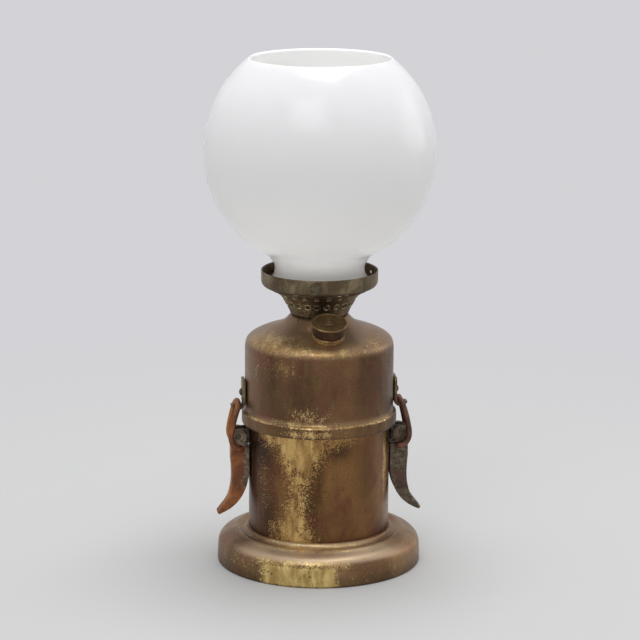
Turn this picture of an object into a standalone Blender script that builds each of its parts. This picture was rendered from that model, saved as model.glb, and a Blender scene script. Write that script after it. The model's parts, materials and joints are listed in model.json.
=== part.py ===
"""Carbide table lamp: foot, carbide container, water tank held by two toggle clasps,
filler cap, water valve, pierced gallery and an opal globe. Metres, +Z up, standing on Z = 0."""
import math

import bmesh
import bpy
from mathutils import Matrix, Vector

# Clearances and sheet
GAP = 0.0003
SHEET = 0.0010
THIN_SHEET = 0.0008
OVERRUN = 0.0020

# Faces round each turned piece
STEPS_WIDE = 36
STEPS_BASKET = 36
STEPS_MID = 28
STEPS_SMALL = 20
STEPS_TINY = 12
STEPS_GLOBE_ARC = 5
ARC_STEP = math.radians(20.0)
SHARP_ANGLE = math.radians(35.0)
MERGE_DISTANCE = GAP / 100
MITRE_LEAST_SHARE = 0.5

# Wires: bends under the first angle stay as they are, the others are turned on an arc
WIRE_PLAIN_BEND = math.radians(28.0)
WIRE_ARC_STEP = math.radians(40.0)
WIRE_REACH_SHARE = 0.48
WIRE_RESOLUTION = 2

# Container and foot
CONTAINER_RADIUS = 0.0509
CONTAINER_BASE = 0.0030
CONTAINER_BEND = 0.0018
CUP_HEIGHT = 0.0740
CUP_LIP = 0.0012
FOOT_RADIUS = 0.0738
FOOT_HEIGHT = 0.0265
FOOT_FLANGE = 0.0078
FOOT_EDGE = 0.0006

# Seat between container and tank: flange, gasket, floor
BAND_BOTTOM = 0.1040
FLANGE_WIDTH = 0.0037
FLANGE_DROP = 0.0016
GASKET_THICKNESS = 0.0024
GASKET_INSET = 0.0002
BAND_STEP = 0.0023
BAND_SLOPE = 0.0012
SKIRT_GAP = 0.0004

# Tank dome
SHOULDER_HEIGHT = 0.1600
DOME_RISE = 0.0233
DOME_LAND_SHARE = 0.385

# Toggle clasps
CLASP_STAND_OFF = 0.0087
PIN_DROP = 0.0090
PIN_RADIUS = 0.0016
PIN_HEAD_RADIUS = 0.0021
PIN_HEAD_HEIGHT = 0.0005
LEVER_REACH = 0.0593
LEVER_HALF_WIDTH = 0.0074
LEVER_TIP_HALF_WIDTH = 0.0048
LEVER_TAPER_SHARE = 0.4
LEVER_HEAD_RADIUS = 0.0058
LEVER_HEAD_INSET = 0.0007
LEVER_HEAD_END = math.radians(232.0)
LEVER_CHEEK = 0.0015
LEVER_NOTCH_DROP = 0.0066
LEVER_SHOULDER_DROP = 0.0076
LEVER_WALL = 0.0014
LEVER_ROOT = 0.0135
LEVER_TIP_SOLID = 0.0160
LEVER_WALL_GAP = 0.0004
TOGGLE_INWARD = 0.0026
TOGGLE_DROP = 0.0093
TOGGLE_DEPTH = 0.0023
EAR_SHEET = 0.0015
EAR_RADIUS = 0.0050
EAR_FOOT_SPREAD = 0.0008
WIRE_RADIUS = 0.0020
WIRE_END_RADIUS = 0.0014
WIRE_BEND = 0.0030
WIRE_SIDE_GAP = 0.0003
CATCH_SHEET = 0.0020
CATCH_HALF_WIDTH = 0.0085
CATCH_HEIGHT = 0.0173
HOOK_HALF_WIDTH = 0.0034
HOOK_RADIUS = 0.0034
HOOK_RISE = 0.0004
HOOK_PLAY = 0.0003
HOOK_END_ANGLE = math.radians(340.0)
RIVET_RADIUS = 0.0013
RIVET_HEAD_RADIUS = 0.0027
RIVET_HEAD_HEIGHT = 0.0019
RIVET_CROWN_SHARE = 0.55
RIVET_HEIGHT = 0.0075

# Filler neck and cap
FILLER_SHARE = 0.665
FILLER_AZIMUTH = math.radians(-86.5)
FILLER_TILT = math.radians(18.0)
NECK_RADIUS = 0.0096
NECK_BORE = 0.0080
NECK_HEIGHT = 0.0100
NECK_RING_RADIUS = 0.0117
NECK_RING_HEIGHT = 0.0034
CAP_RADIUS = 0.0130
CAP_SKIRT_RADIUS = 0.0115
CAP_WALL = 0.0013
CAP_RIM_HEIGHT = 0.0022
CAP_DISH = 0.0006
WASHER_THICKNESS = 0.0009

# Water valve
VALVE_SHARE = 0.615
VALVE_AZIMUTH = math.radians(90.0)
NEEDLE_RADIUS = 0.0016
NEEDLE_POINT = 0.0030
SEAT_RADIUS = 0.0030
SEAT_COLLAR_RADIUS = 0.0046
SEAT_COLLAR_HEIGHT = 0.0034
NOZZLE_LENGTH = 0.0090
NOZZLE_BORE = 0.0010
GLAND_RADIUS = 0.0052
GLAND_HEIGHT = 0.0070
GLAND_NUT_RADIUS = 0.0064
GLAND_NUT_HEIGHT = 0.0032
KNOB_RADIUS = 0.0075
KNOB_HEIGHT = 0.0045
KNOB_EDGE = 0.0008
KNOB_FLUTES = 12
FLUTE_RADIUS = 0.0011
FLUTE_SIDES = 6

# Gas tube and filter
GAS_TUBE_RADIUS = 0.0040
GAS_TUBE_WALL = 0.0021
FILTER_RADIUS = 0.0140
FILTER_DEPTH = 0.0120
FELT_THICKNESS = 0.0080
FILTER_HOLES = 6
FILTER_HOLE_RADIUS = 0.0014

# Gallery
BASKET_FOOT_RADIUS = 0.0192
BASKET_TOP_RADIUS = 0.0330
BASKET_HEIGHT = 0.0198
BASKET_HOLES = 22
UPPER_HOLE_RADIUS = 0.0016
UPPER_HOLE_SHARE = 0.848
UPPER_HOLE_TILT = math.radians(-46.0)
LOWER_HOLE_RADIUS = 0.0019
LOWER_HOLE_SHARE = 0.460
LOWER_HOLE_TILT = math.radians(-30.0)
HOLE_SIDES = 6
RING_RADIUS = 0.0420
RING_HEIGHT = 0.0123
RING_BEND_WIDTH = 0.0038
RING_BEND_HEIGHT = 0.0048
RING_FLOOR_WIDTH = 0.0090
SCREW_HEIGHT = 0.0065
SCREW_RADIUS = 0.0012
SCREW_HEAD_RADIUS = 0.0043
SCREW_HEAD_HEIGHT = 0.0018
SCREW_LIP_GAP = 0.0006
SCREW_FIRST_AZIMUTH = math.radians(-100.5)
SCREW_COUNT = 3

# Burner
BURNER_NUT_RADIUS = 0.0095
BURNER_NUT_HEIGHT = 0.0110
BURNER_NUT_SIDES = 6
GAS_TUBE_SEAT = 0.0050
STEM_LENGTH = 0.0460
STEM_WALL = 0.0021
TIP_RADIUS = 0.0046
TIP_HEIGHT = 0.0090
JET_RADIUS = 0.0021
JET_SPREAD = 0.0100
JET_RISE = 0.0130
JET_TOP_SHARE = 1.6

# Globe
GLOBE_RADIUS = 0.0830
GLOBE_UPPER_HEIGHT = 0.0845
GLOBE_LOWER_HEIGHT = 0.0830
GLOBE_MOUTH_RADIUS = 0.0505
GLOBE_NECK_HEIGHT = 0.0222
GLOBE_NECK_RADIUS = 0.0376
GLOBE_LIP_RADIUS = 0.0353
GLASS = 0.0024

# Outlines as shares of the sizes named beside them
# foot: (radius from collar to rim, height of the foot)
FOOT_SHARES = [(0.000, 1.000), (0.000, 0.962), (0.065, 0.906), (0.157, 0.875), (0.245, 0.902),
               (0.361, 0.917), (0.546, 0.853), (0.755, 0.777), (0.852, 0.717), (0.931, 0.634),
               (0.977, 0.528)]
# dome: (tank radius, rise from shoulder to dome top)
DOME_SHARES = [(0.401, 0.970), (0.448, 0.850), (0.522, 0.721), (0.649, 0.601), (0.795, 0.485),
               (0.892, 0.382), (0.938, 0.313), (0.974, 0.227), (0.994, 0.107), (1.000, 0.000)]
# basket wall: (radius from foot to top, height)
BASKET_SHARES = [(1.180, 0.956), (1.000, 0.944), (0.841, 0.859), (0.652, 0.742), (0.478, 0.606),
                 (0.304, 0.399), (0.196, 0.217), (0.110, 0.090), (0.000, 0.000)]
# ring bend: (width, height) of the bend between floor and wall
RING_SHARES = [(1.000, 1.000), (0.895, 0.604), (0.579, 0.270), (0.000, 0.000)]
# globe neck: (depth of the waist, height above the lip's underside)
NECK_SHARES = [(-0.58, 0.788), (-0.90, 0.653), (-1.00, 0.523), (-0.90, 0.419), (-0.68, 0.338),
               (-0.13, 0.203), (0.00, 0.113), (-0.16, 0.027), (-0.32, 0.000)]
NECK_WAIST = 0.0031
# lever, down from its pin: (outwards, downwards), both of the reach
LEVER_OUTER_SHARES = [(0.082, 0.150), (0.084, 0.287), (0.073, 0.422), (0.074, 0.556),
                      (0.088, 0.664), (0.118, 0.776), (0.162, 0.850), (0.215, 0.915)]
LEVER_TIP_SHARES = [(0.255, 0.972), (0.250, 0.996), (0.228, 1.000)]
LEVER_INNER_SHARES = [(0.150, 0.956), (0.074, 0.911), (0.007, 0.843), (-0.051, 0.762),
                      (-0.094, 0.666), (-0.125, 0.555)]
# link strand, from its lower end to the bar: (outwards, sideways, upwards)
STRAND_SHARES = [(0.106, 1.0, 0.030), (0.167, 1.0, 0.082), (0.215, 1.0, 0.164),
                 (0.236, 1.0, 0.258), (0.236, 1.0, 0.333), (0.224, 1.0, 0.418),
                 (0.194, 1.0, 0.570), (0.155, 1.0, 0.736), (0.115, 1.0, 0.867),
                 (0.094, 0.94, 0.930), (0.076, 0.73, 0.979), (0.064, 0.39, 1.000)]


def derive():
    """Heights and radii that follow from the driving sizes."""
    d = {}
    d["collar_radius"] = CONTAINER_RADIUS + GAP
    d["flange_radius"] = CONTAINER_RADIUS + FLANGE_WIDTH
    d["flange_top"] = BAND_BOTTOM + FLANGE_DROP + SHEET
    d["gasket_bottom"] = d["flange_top"] + GAP
    d["gasket_top"] = d["gasket_bottom"] + GASKET_THICKNESS
    d["floor_bottom"] = d["gasket_top"] + GAP
    d["floor_top"] = d["floor_bottom"] + SHEET
    d["skirt_inner"] = d["flange_radius"] + SKIRT_GAP
    d["band_radius"] = d["skirt_inner"] + SHEET
    d["tank_radius"] = d["band_radius"] - BAND_STEP
    d["band_top"] = d["floor_top"] + GAP + SHEET + BAND_SLOPE
    d["pin_radial"] = CONTAINER_RADIUS + CLASP_STAND_OFF
    d["pin_height"] = BAND_BOTTOM - PIN_DROP
    d["catch_back"] = d["tank_radius"] + GAP
    d["catch_face"] = d["catch_back"] + CATCH_SHEET
    d["hook_radial"] = d["catch_face"] + HOOK_RADIUS
    d["hook_height"] = d["band_top"] + HOOK_RISE + CATCH_SHEET + HOOK_RADIUS
    d["bar_height"] = d["hook_height"] - HOOK_PLAY * 2 / 3
    d["toggle_radial"] = d["pin_radial"] - TOGGLE_INWARD
    d["toggle_height"] = d["pin_height"] - TOGGLE_DROP
    d["link_length"] = d["bar_height"] - d["toggle_height"]
    d["cheek_inner"] = LEVER_HALF_WIDTH - LEVER_CHEEK
    d["ear_outer"] = d["cheek_inner"] - GAP
    d["ear_inner"] = d["ear_outer"] - EAR_SHEET
    d["pin_head"] = LEVER_HALF_WIDTH + GAP
    d["strand_side"] = d["pin_head"] + PIN_HEAD_HEIGHT + WIRE_SIDE_GAP + WIRE_RADIUS
    d["dome_top"] = SHOULDER_HEIGHT + DOME_RISE
    d["basket_floor"] = d["dome_top"] + GAP
    d["ring_bottom"] = d["basket_floor"] + BASKET_HEIGHT + GAP
    d["globe_bottom"] = d["ring_bottom"] + SHEET + GAP
    d["screw_height"] = d["ring_bottom"] + SCREW_HEIGHT
    d["nut_bottom"] = d["basket_floor"] + THIN_SHEET + GAP
    d["nut_top"] = d["nut_bottom"] + BURNER_NUT_HEIGHT
    d["gas_tube_top"] = d["nut_bottom"] + GAS_TUBE_SEAT
    d["stem_bottom"] = d["gas_tube_top"] + GAP
    d["stem_top"] = d["stem_bottom"] + STEM_LENGTH
    d["filler_radial"] = d["tank_radius"] * FILLER_SHARE
    d["valve_radial"] = d["tank_radius"] * VALVE_SHARE
    return d


D = derive()


def clear_scene():
    for obj in list(bpy.data.objects):
        bpy.data.objects.remove(obj, do_unlink=True)


def finish_material(name, colour, roughness, metallic):
    """A Principled material; each piece has its own."""
    material = bpy.data.materials.new(name)
    material.use_nodes = True
    shader = material.node_tree.nodes["Principled BSDF"]
    shader.inputs["Base Color"].default_value = (*colour, 1.0)
    shader.inputs["Roughness"].default_value = roughness
    shader.inputs["Metallic"].default_value = metallic
    material.diffuse_color = (*colour, 1.0)
    return material


BRASS = ((0.18, 0.11, 0.05), 0.45, 1.0)
WORN_BRASS = ((0.30, 0.21, 0.09), 0.40, 1.0)
DARK_BRASS = ((0.09, 0.06, 0.035), 0.50, 1.0)
RUST = ((0.19, 0.07, 0.02), 0.70, 0.4)
DARK_STEEL = ((0.09, 0.07, 0.05), 0.60, 0.6)
OPAL = ((0.90, 0.91, 0.93), 0.12, 0.0)
RUBBER = ((0.02, 0.02, 0.02), 0.80, 0.0)
FELT = ((0.35, 0.30, 0.22), 0.95, 0.0)
STEATITE = ((0.75, 0.70, 0.60), 0.60, 0.0)


def add_object(name, mesh, look):
    """Link a mesh as a named object with its own material, shaded smooth but for sharp edges."""
    obj = bpy.data.objects.new(name, mesh)
    bpy.context.scene.collection.objects.link(obj)
    mesh.materials.clear()
    mesh.materials.append(finish_material(name + "_finish", *look))
    mesh.shade_smooth()
    mesh.set_sharp_from_angle(angle=SHARP_ANGLE)
    return obj


def mesh_from(bm, name):
    mesh = bpy.data.meshes.new(name)
    bm.to_mesh(mesh)
    bm.free()
    return mesh


def offset_path(path, distance):
    """The path moved to its right by a distance, mitred at its corners."""
    count = len(path)
    moved = []
    for index, (x, z) in enumerate(path):
        before = Vector(path[max(index - 1, 0)])
        here = Vector((x, z))
        after = Vector(path[min(index + 1, count - 1)])
        first = (here - before).normalized() if index > 0 else (after - here).normalized()
        second = (after - here).normalized() if index < count - 1 else first
        normal = Vector((first.y + second.y, -first.x - second.x)).normalized()
        mitre = max(normal.dot(Vector((first.y, -first.x))), MITRE_LEAST_SHARE)
        place = here + normal * (distance / mitre)
        moved.append((max(place.x, 0.0) if x > 0 else 0.0, place.y))
    return moved


def sheet_loop(path, thickness):
    """Closed outline of a spun sheet: the outer side, top to bottom, and the inner side back."""
    return list(reversed(offset_path(path, thickness))) + list(path)


def lathe_mesh(name, outline, steps):
    """Spin an outline of (radius, height) once round Z. It closes at the axis or on itself."""
    bm = bmesh.new()
    verts = [bm.verts.new((r, 0.0, z)) for r, z in outline]
    edges = [bm.edges.new(pair) for pair in zip(verts, verts[1:])]
    if outline[0][0] > 0 or outline[-1][0] > 0:
        edges.append(bm.edges.new((verts[-1], verts[0])))
    bmesh.ops.spin(bm, geom=verts + edges, cent=(0, 0, 0), axis=(0, 0, 1), dvec=(0, 0, 0),
                   angle=math.tau, steps=steps, use_merge=True, use_duplicate=False)
    bmesh.ops.remove_doubles(bm, verts=bm.verts, dist=MERGE_DISTANCE)
    bmesh.ops.dissolve_degenerate(bm, edges=bm.edges, dist=MERGE_DISTANCE)
    bmesh.ops.recalc_face_normals(bm, faces=bm.faces)
    return mesh_from(bm, name)


def lathe(name, outline, steps, look):
    return add_object(name, lathe_mesh(name, outline, steps), look)


def prism_mesh(name, outline, low, high):
    """Extrude an outline of (x, z) points from y = low to y = high."""
    bm = bmesh.new()
    verts = [bm.verts.new((x, low, z)) for x, z in outline]
    face = bm.faces.new(verts)
    grown = bmesh.ops.extrude_face_region(bm, geom=[face])
    moved = [item for item in grown["geom"] if isinstance(item, bmesh.types.BMVert)]
    bmesh.ops.translate(bm, verts=moved, vec=(0, high - low, 0))
    bmesh.ops.recalc_face_normals(bm, faces=bm.faces)
    return mesh_from(bm, name)


def prism(name, outline, low, high, look):
    return add_object(name, prism_mesh(name, outline, low, high), look)


def rod_mesh(name, rods, sides):
    """Straight rods as one mesh, each (centre, direction, radius, length)."""
    bm = bmesh.new()
    for centre, direction, radius, length in rods:
        turn = Vector((0, 0, 1)).rotation_difference(Vector(direction)).to_matrix().to_4x4()
        place = Matrix.Translation(Vector(centre)) @ turn
        bmesh.ops.create_cone(bm, cap_ends=True, segments=sides, radius1=radius, radius2=radius,
                              depth=length, matrix=place)
    return mesh_from(bm, name)


def apply_modifiers(obj):
    """Replace the object's mesh by its evaluated one and drop its modifiers."""
    bpy.context.view_layer.update()
    depsgraph = bpy.context.evaluated_depsgraph_get()
    mesh = bpy.data.meshes.new_from_object(obj.evaluated_get(depsgraph))
    obj.modifiers.clear()
    old = obj.data
    obj.data = mesh
    bpy.data.meshes.remove(old)
    mesh.shade_smooth()
    mesh.set_sharp_from_angle(angle=SHARP_ANGLE)


def combine(obj, other, operation):
    """Boolean of an object with another one, which is used up."""
    modifier = obj.modifiers.new(operation.lower(), "BOOLEAN")
    modifier.operation = operation
    modifier.solver = "EXACT"
    modifier.object = other
    apply_modifiers(obj)
    bpy.data.objects.remove(other, do_unlink=True)


def cut(obj, mesh):
    cutter = bpy.data.objects.new("cutter", mesh)
    cutter.display_type = "WIRE"
    cutter.hide_render = True
    bpy.context.scene.collection.objects.link(cutter)
    combine(obj, cutter, "DIFFERENCE")


def cut_rods(obj, rods, sides):
    cut(obj, rod_mesh("cutter", rods, sides))


def around(radial, azimuth, height):
    return Vector((radial * math.cos(azimuth), radial * math.sin(azimuth), height))


def arc(start, end):
    """Angles from start to end, both included, about one arc step apart."""
    pieces = round(abs(end - start) / ARC_STEP)
    return [start + (end - start) * piece / pieces for piece in range(pieces + 1)]


def rounded_route(corners, radius):
    """A route with each corner turned on an arc, no larger than its neighbours leave room for."""
    points = [Vector(corners[0])]
    for before, here, after in zip(corners, corners[1:], corners[2:]):
        before, here, after = Vector(before), Vector(here), Vector(after)
        first = here - before
        second = after - here
        bend = first.angle(second)
        if bend < WIRE_PLAIN_BEND:
            points.append(here)
            continue
        room = min(first.length, second.length) * WIRE_REACH_SHARE
        reach = min(radius * math.tan(bend / 2), room)
        start = here - first.normalized() * reach
        end = here + second.normalized() * reach
        pieces = max(2, math.ceil(bend / WIRE_ARC_STEP))
        for piece in range(pieces + 1):
            t = piece / pieces
            points.append(start * (1 - t) ** 2 + here * 2 * t * (1 - t) + end * t ** 2)
    points.append(Vector(corners[-1]))
    return points


def wire_mesh(name, route, radius, end_share=1.0):
    """A round wire along a route, with closed ends whose first two points may be thinner."""
    curve = bpy.data.curves.new(name, "CURVE")
    curve.dimensions = "3D"
    curve.bevel_depth = radius
    curve.bevel_resolution = WIRE_RESOLUTION
    curve.use_fill_caps = True
    spline = curve.splines.new("POLY")
    spline.points.add(len(route) - 1)
    for point, place in zip(spline.points, route):
        point.co = (*place, 1.0)
    for index in (0, 1, -2, -1):
        spline.points[index].radius = end_share
    guide = bpy.data.objects.new(name + "_guide", curve)
    bpy.context.scene.collection.objects.link(guide)
    bpy.context.view_layer.update()
    depsgraph = bpy.context.evaluated_depsgraph_get()
    raw = bpy.data.meshes.new_from_object(guide.evaluated_get(depsgraph))
    bpy.data.objects.remove(guide, do_unlink=True)
    bm = bmesh.new()
    bm.from_mesh(raw)
    bpy.data.meshes.remove(raw)
    bmesh.ops.remove_doubles(bm, verts=bm.verts, dist=MERGE_DISTANCE)
    bmesh.ops.recalc_face_normals(bm, faces=bm.faces)
    return mesh_from(bm, name)


def interpolate(path, radius):
    """Height of an outline of (radius, height) points at a radius."""
    ordered = sorted(path)
    for (r0, z0), (r1, z1) in zip(ordered, ordered[1:]):
        if r0 <= radius <= r1:
            return z0 + (z1 - z0) * (radius - r0) / (r1 - r0)
    return ordered[0][1] if radius < ordered[0][0] else ordered[-1][1]


def dome_path():
    """Outer side of the dome, from its flat land down to the tank's wall."""
    radius = D["tank_radius"]
    path = [(radius * DOME_LAND_SHARE, D["dome_top"])]
    path += [(radius * r, SHOULDER_HEIGHT + DOME_RISE * z) for r, z in DOME_SHARES]
    return path


def dome_cutter_mesh():
    """A solid of the dome grown by the clearance, which trims what is seated on the dome."""
    top = [(0.0, D["dome_top"])] + dome_path()
    grown = offset_path(top, -GAP)
    outline = grown + [(grown[-1][0], BAND_BOTTOM), (0.0, BAND_BOTTOM)]
    return lathe_mesh("dome_cutter", outline, STEPS_WIDE)


def build_foot():
    collar = D["collar_radius"] + SHEET
    span = FOOT_RADIUS - collar
    path = [(collar + span * r, FOOT_HEIGHT * z) for r, z in FOOT_SHARES]
    path += [(FOOT_RADIUS, FOOT_EDGE), (FOOT_RADIUS - FOOT_EDGE, 0.0), (FOOT_RADIUS - FOOT_FLANGE, 0.0)]
    lathe("foot_ring", sheet_loop(path, SHEET), STEPS_WIDE, WORN_BRASS)


def build_container():
    radius = CONTAINER_RADIUS
    underside = D["flange_top"] - SHEET
    path = [(D["flange_radius"], underside), (radius + CONTAINER_BEND / 2, underside),
            (radius, underside - CONTAINER_BEND / 2),
            (radius, CONTAINER_BASE + CONTAINER_BEND),
            (radius - CONTAINER_BEND, CONTAINER_BASE), (0.0, CONTAINER_BASE)]
    lathe("container", sheet_loop(path, SHEET), STEPS_WIDE, BRASS)

    cup_base = CONTAINER_BASE + SHEET + GAP
    cup_radius = radius - SHEET - GAP
    cup_wall = cup_radius - CUP_LIP
    cup_top = cup_base + CUP_HEIGHT
    path = [(cup_radius, cup_top), (cup_radius, cup_top - CUP_LIP), (cup_wall, cup_top - CUP_LIP * 2),
            (cup_wall, cup_base + CONTAINER_BEND), (cup_wall - CONTAINER_BEND, cup_base),
            (0.0, cup_base)]
    lathe("carbide_cup", sheet_loop(path, THIN_SHEET), STEPS_MID, DARK_BRASS)

    outer = D["flange_radius"] - GASKET_INSET
    inner = radius + GASKET_INSET
    outline = [(outer, D["gasket_top"]), (outer, D["gasket_bottom"]),
               (inner, D["gasket_bottom"]), (inner, D["gasket_top"])]
    lathe("sealing_gasket", outline, STEPS_WIDE, RUBBER)


def build_tank():
    radius = D["tank_radius"]
    bore = GAS_TUBE_RADIUS + GAP
    path = [(bore, D["dome_top"])] + dome_path()
    path += [(radius, D["band_top"]), (D["band_radius"] - SKIRT_GAP, D["band_top"] - BAND_SLOPE / 2),
             (D["band_radius"], D["band_top"] - BAND_SLOPE), (D["band_radius"], BAND_BOTTOM)]
    tank = lathe("tank_shell", sheet_loop(path, SHEET), STEPS_WIDE, BRASS)

    foot = around(D["filler_radial"], FILLER_AZIMUTH,
                  interpolate(dome_path(), D["filler_radial"]))
    axis = Matrix.Rotation(FILLER_AZIMUTH, 3, "Z") @ Matrix.Rotation(FILLER_TILT, 3, "Y")
    cut_rods(tank, [(foot, axis @ Vector((0, 0, 1)), NECK_BORE, NECK_RADIUS)], STEPS_SMALL)
    valve = around(D["valve_radial"], VALVE_AZIMUTH, D["dome_top"])
    cut_rods(tank, [(valve, (0, 0, 1), NEEDLE_RADIUS + GAP, DOME_RISE * 2)],
             STEPS_TINY)
    rivet_height = D["hook_height"] + RIVET_HEIGHT
    for side in (-1, 1):
        cut_rods(tank, [((side * radius, 0, rivet_height), (1, 0, 0),
                         RIVET_RADIUS + GAP, SHEET * 4)], STEPS_TINY)

    edge = D["skirt_inner"] - GAP
    outline = [(bore, D["floor_top"]), (edge, D["floor_top"]), (edge, D["floor_bottom"]),
               (bore, D["floor_bottom"])]
    floor = lathe("tank_floor", outline, STEPS_WIDE, DARK_BRASS)
    seat = around(D["valve_radial"], VALVE_AZIMUTH, D["floor_bottom"])
    cut_rods(floor, [(seat, (0, 0, 1), SEAT_RADIUS + GAP, SHEET * 4)], STEPS_TINY)


def build_gas_path():
    outer = GAS_TUBE_RADIUS
    inner = GAS_TUBE_RADIUS - GAS_TUBE_WALL
    bottom = D["floor_bottom"] - GAS_TUBE_SEAT / 2
    outline = [(outer, D["gas_tube_top"]), (outer, bottom), (inner, bottom),
               (inner, D["gas_tube_top"])]
    lathe("gas_tube", outline, STEPS_SMALL, BRASS)

    top = D["floor_bottom"] - GAP
    low = top - FILTER_DEPTH
    path = [(FILTER_RADIUS, top), (FILTER_RADIUS, low + THIN_SHEET),
            (FILTER_RADIUS - THIN_SHEET, low), (0.0, low)]
    cup = lathe("filter_cup", sheet_loop(path, THIN_SHEET), STEPS_SMALL, DARK_BRASS)
    holes = []
    for hole in range(FILTER_HOLES):
        azimuth = math.tau * hole / FILTER_HOLES
        holes.append((around(FILTER_RADIUS / 2, azimuth, low), (0, 0, 1), FILTER_HOLE_RADIUS,
                      THIN_SHEET * 4))
    cut_rods(cup, holes, HOLE_SIDES)
    felt_radius = FILTER_RADIUS - THIN_SHEET - GAP
    felt_low = low + THIN_SHEET + GAP
    outline = [(0.0, felt_low + FELT_THICKNESS), (felt_radius, felt_low + FELT_THICKNESS),
               (felt_radius, felt_low + THIN_SHEET), (felt_radius - THIN_SHEET, felt_low),
               (0.0, felt_low)]
    lathe("filter_felt", outline, STEPS_SMALL, FELT)


def build_filler():
    base_height = interpolate(dome_path(), D["filler_radial"])
    frame = bpy.data.objects.new("filler_axis", None)
    bpy.context.scene.collection.objects.link(frame)
    frame.location = around(D["filler_radial"], FILLER_AZIMUTH, base_height)
    frame.rotation_euler = (0, FILLER_TILT, FILLER_AZIMUTH)

    depth = NECK_RING_RADIUS
    outline = [(NECK_RADIUS, NECK_HEIGHT), (NECK_RADIUS, NECK_RING_HEIGHT),
               (NECK_RING_RADIUS - SHEET, NECK_RING_HEIGHT),
               (NECK_RING_RADIUS, NECK_RING_HEIGHT - SHEET), (NECK_RING_RADIUS, -depth),
               (NECK_BORE, -depth), (NECK_BORE, NECK_HEIGHT)]
    neck = lathe("filler_neck", outline, STEPS_SMALL, WORN_BRASS)
    neck.parent = frame
    cut(neck, dome_cutter_mesh())

    washer_low = NECK_HEIGHT + GAP
    washer_outer = NECK_RADIUS
    outline = [(washer_outer, washer_low + WASHER_THICKNESS), (washer_outer, washer_low),
               (NECK_BORE, washer_low), (NECK_BORE, washer_low + WASHER_THICKNESS)]
    washer = lathe("cap_washer", outline, STEPS_SMALL, RUBBER)
    washer.parent = frame

    roof = washer_low + WASHER_THICKNESS + GAP
    top = roof + CAP_WALL
    skirt_low = NECK_RING_HEIGHT + GAP * 2
    inner = CAP_SKIRT_RADIUS - CAP_WALL
    dish = CAP_RADIUS - CAP_RIM_HEIGHT
    outline = [(0.0, top - CAP_DISH), (dish, top - CAP_DISH), (dish + CAP_DISH, top),
               (CAP_RADIUS - CAP_DISH, top), (CAP_RADIUS, top - CAP_DISH),
               (CAP_RADIUS, top - CAP_RIM_HEIGHT), (CAP_SKIRT_RADIUS, top - CAP_RIM_HEIGHT - CAP_DISH),
               (CAP_SKIRT_RADIUS, skirt_low), (inner, skirt_low), (inner, roof), (0.0, roof)]
    cap = lathe("filler_cap", outline, STEPS_SMALL, DARK_BRASS)
    cap.parent = frame


def build_valve():
    place = around(D["valve_radial"], VALVE_AZIMUTH, 0.0)
    dome = interpolate(dome_path(), D["valve_radial"])
    collar_low = D["floor_top"] + GAP
    collar_top = collar_low + SEAT_COLLAR_HEIGHT
    nozzle_low = D["floor_bottom"] - NOZZLE_LENGTH
    throat = NEEDLE_RADIUS + GAP
    outline = [(throat, collar_top), (SEAT_COLLAR_RADIUS, collar_top),
               (SEAT_COLLAR_RADIUS, collar_low), (SEAT_RADIUS, collar_low),
               (SEAT_RADIUS, nozzle_low + SEAT_RADIUS - NOZZLE_BORE * 2),
               (NOZZLE_BORE * 2, nozzle_low), (NOZZLE_BORE, nozzle_low),
               (NOZZLE_BORE, collar_top - NEEDLE_POINT)]
    seat = lathe("valve_seat", outline, STEPS_TINY, BRASS)
    seat.location = place

    gland_top = dome + GLAND_HEIGHT
    nut_low = gland_top + GAP
    nut_top = nut_low + GLAND_NUT_HEIGHT
    knob_low = nut_top + GAP
    needle_low = collar_top - NEEDLE_POINT + GAP * 2
    tip = NOZZLE_BORE / 2
    outline = [(0.0, knob_low - GAP / 2), (NEEDLE_RADIUS, knob_low - GAP / 2),
               (NEEDLE_RADIUS, needle_low + NEEDLE_POINT), (tip, needle_low), (0.0, needle_low)]
    needle = lathe("valve_needle", outline, STEPS_TINY, WORN_BRASS)
    needle.location = place

    outline = [(GLAND_RADIUS, gland_top), (GLAND_RADIUS, SHOULDER_HEIGHT),
               (throat, SHOULDER_HEIGHT), (throat, gland_top)]
    gland = lathe("valve_gland", outline, STEPS_TINY, BRASS)
    gland.location = place
    cut(gland, dome_cutter_mesh())

    outline = [(0.0, nut_top), (GLAND_NUT_RADIUS, nut_top), (GLAND_NUT_RADIUS, nut_low), (0.0, nut_low)]
    nut = lathe("gland_nut", outline, BURNER_NUT_SIDES, WORN_BRASS)
    nut.location = place
    cut_rods(nut, [(place + Vector((0, 0, nut_low)), (0, 0, 1), throat, GLAND_NUT_HEIGHT * 3)],
             STEPS_TINY)

    knob_top = knob_low + KNOB_HEIGHT
    outline = [(0.0, knob_top), (KNOB_RADIUS - KNOB_EDGE, knob_top),
               (KNOB_RADIUS, knob_top - KNOB_EDGE), (KNOB_RADIUS, knob_low + KNOB_EDGE),
               (KNOB_RADIUS - KNOB_EDGE, knob_low), (0.0, knob_low)]
    knob = lathe("valve_knob", outline, STEPS_SMALL, DARK_BRASS)
    knob.location = place
    flutes = []
    for flute in range(KNOB_FLUTES):
        angle = math.tau * flute / KNOB_FLUTES
        centre = place + around(KNOB_RADIUS + FLUTE_RADIUS / 3, angle, knob_low + KNOB_HEIGHT / 2)
        flutes.append((centre, (0, 0, 1), FLUTE_RADIUS, KNOB_HEIGHT * 2))
    cut_rods(knob, flutes, FLUTE_SIDES)


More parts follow.
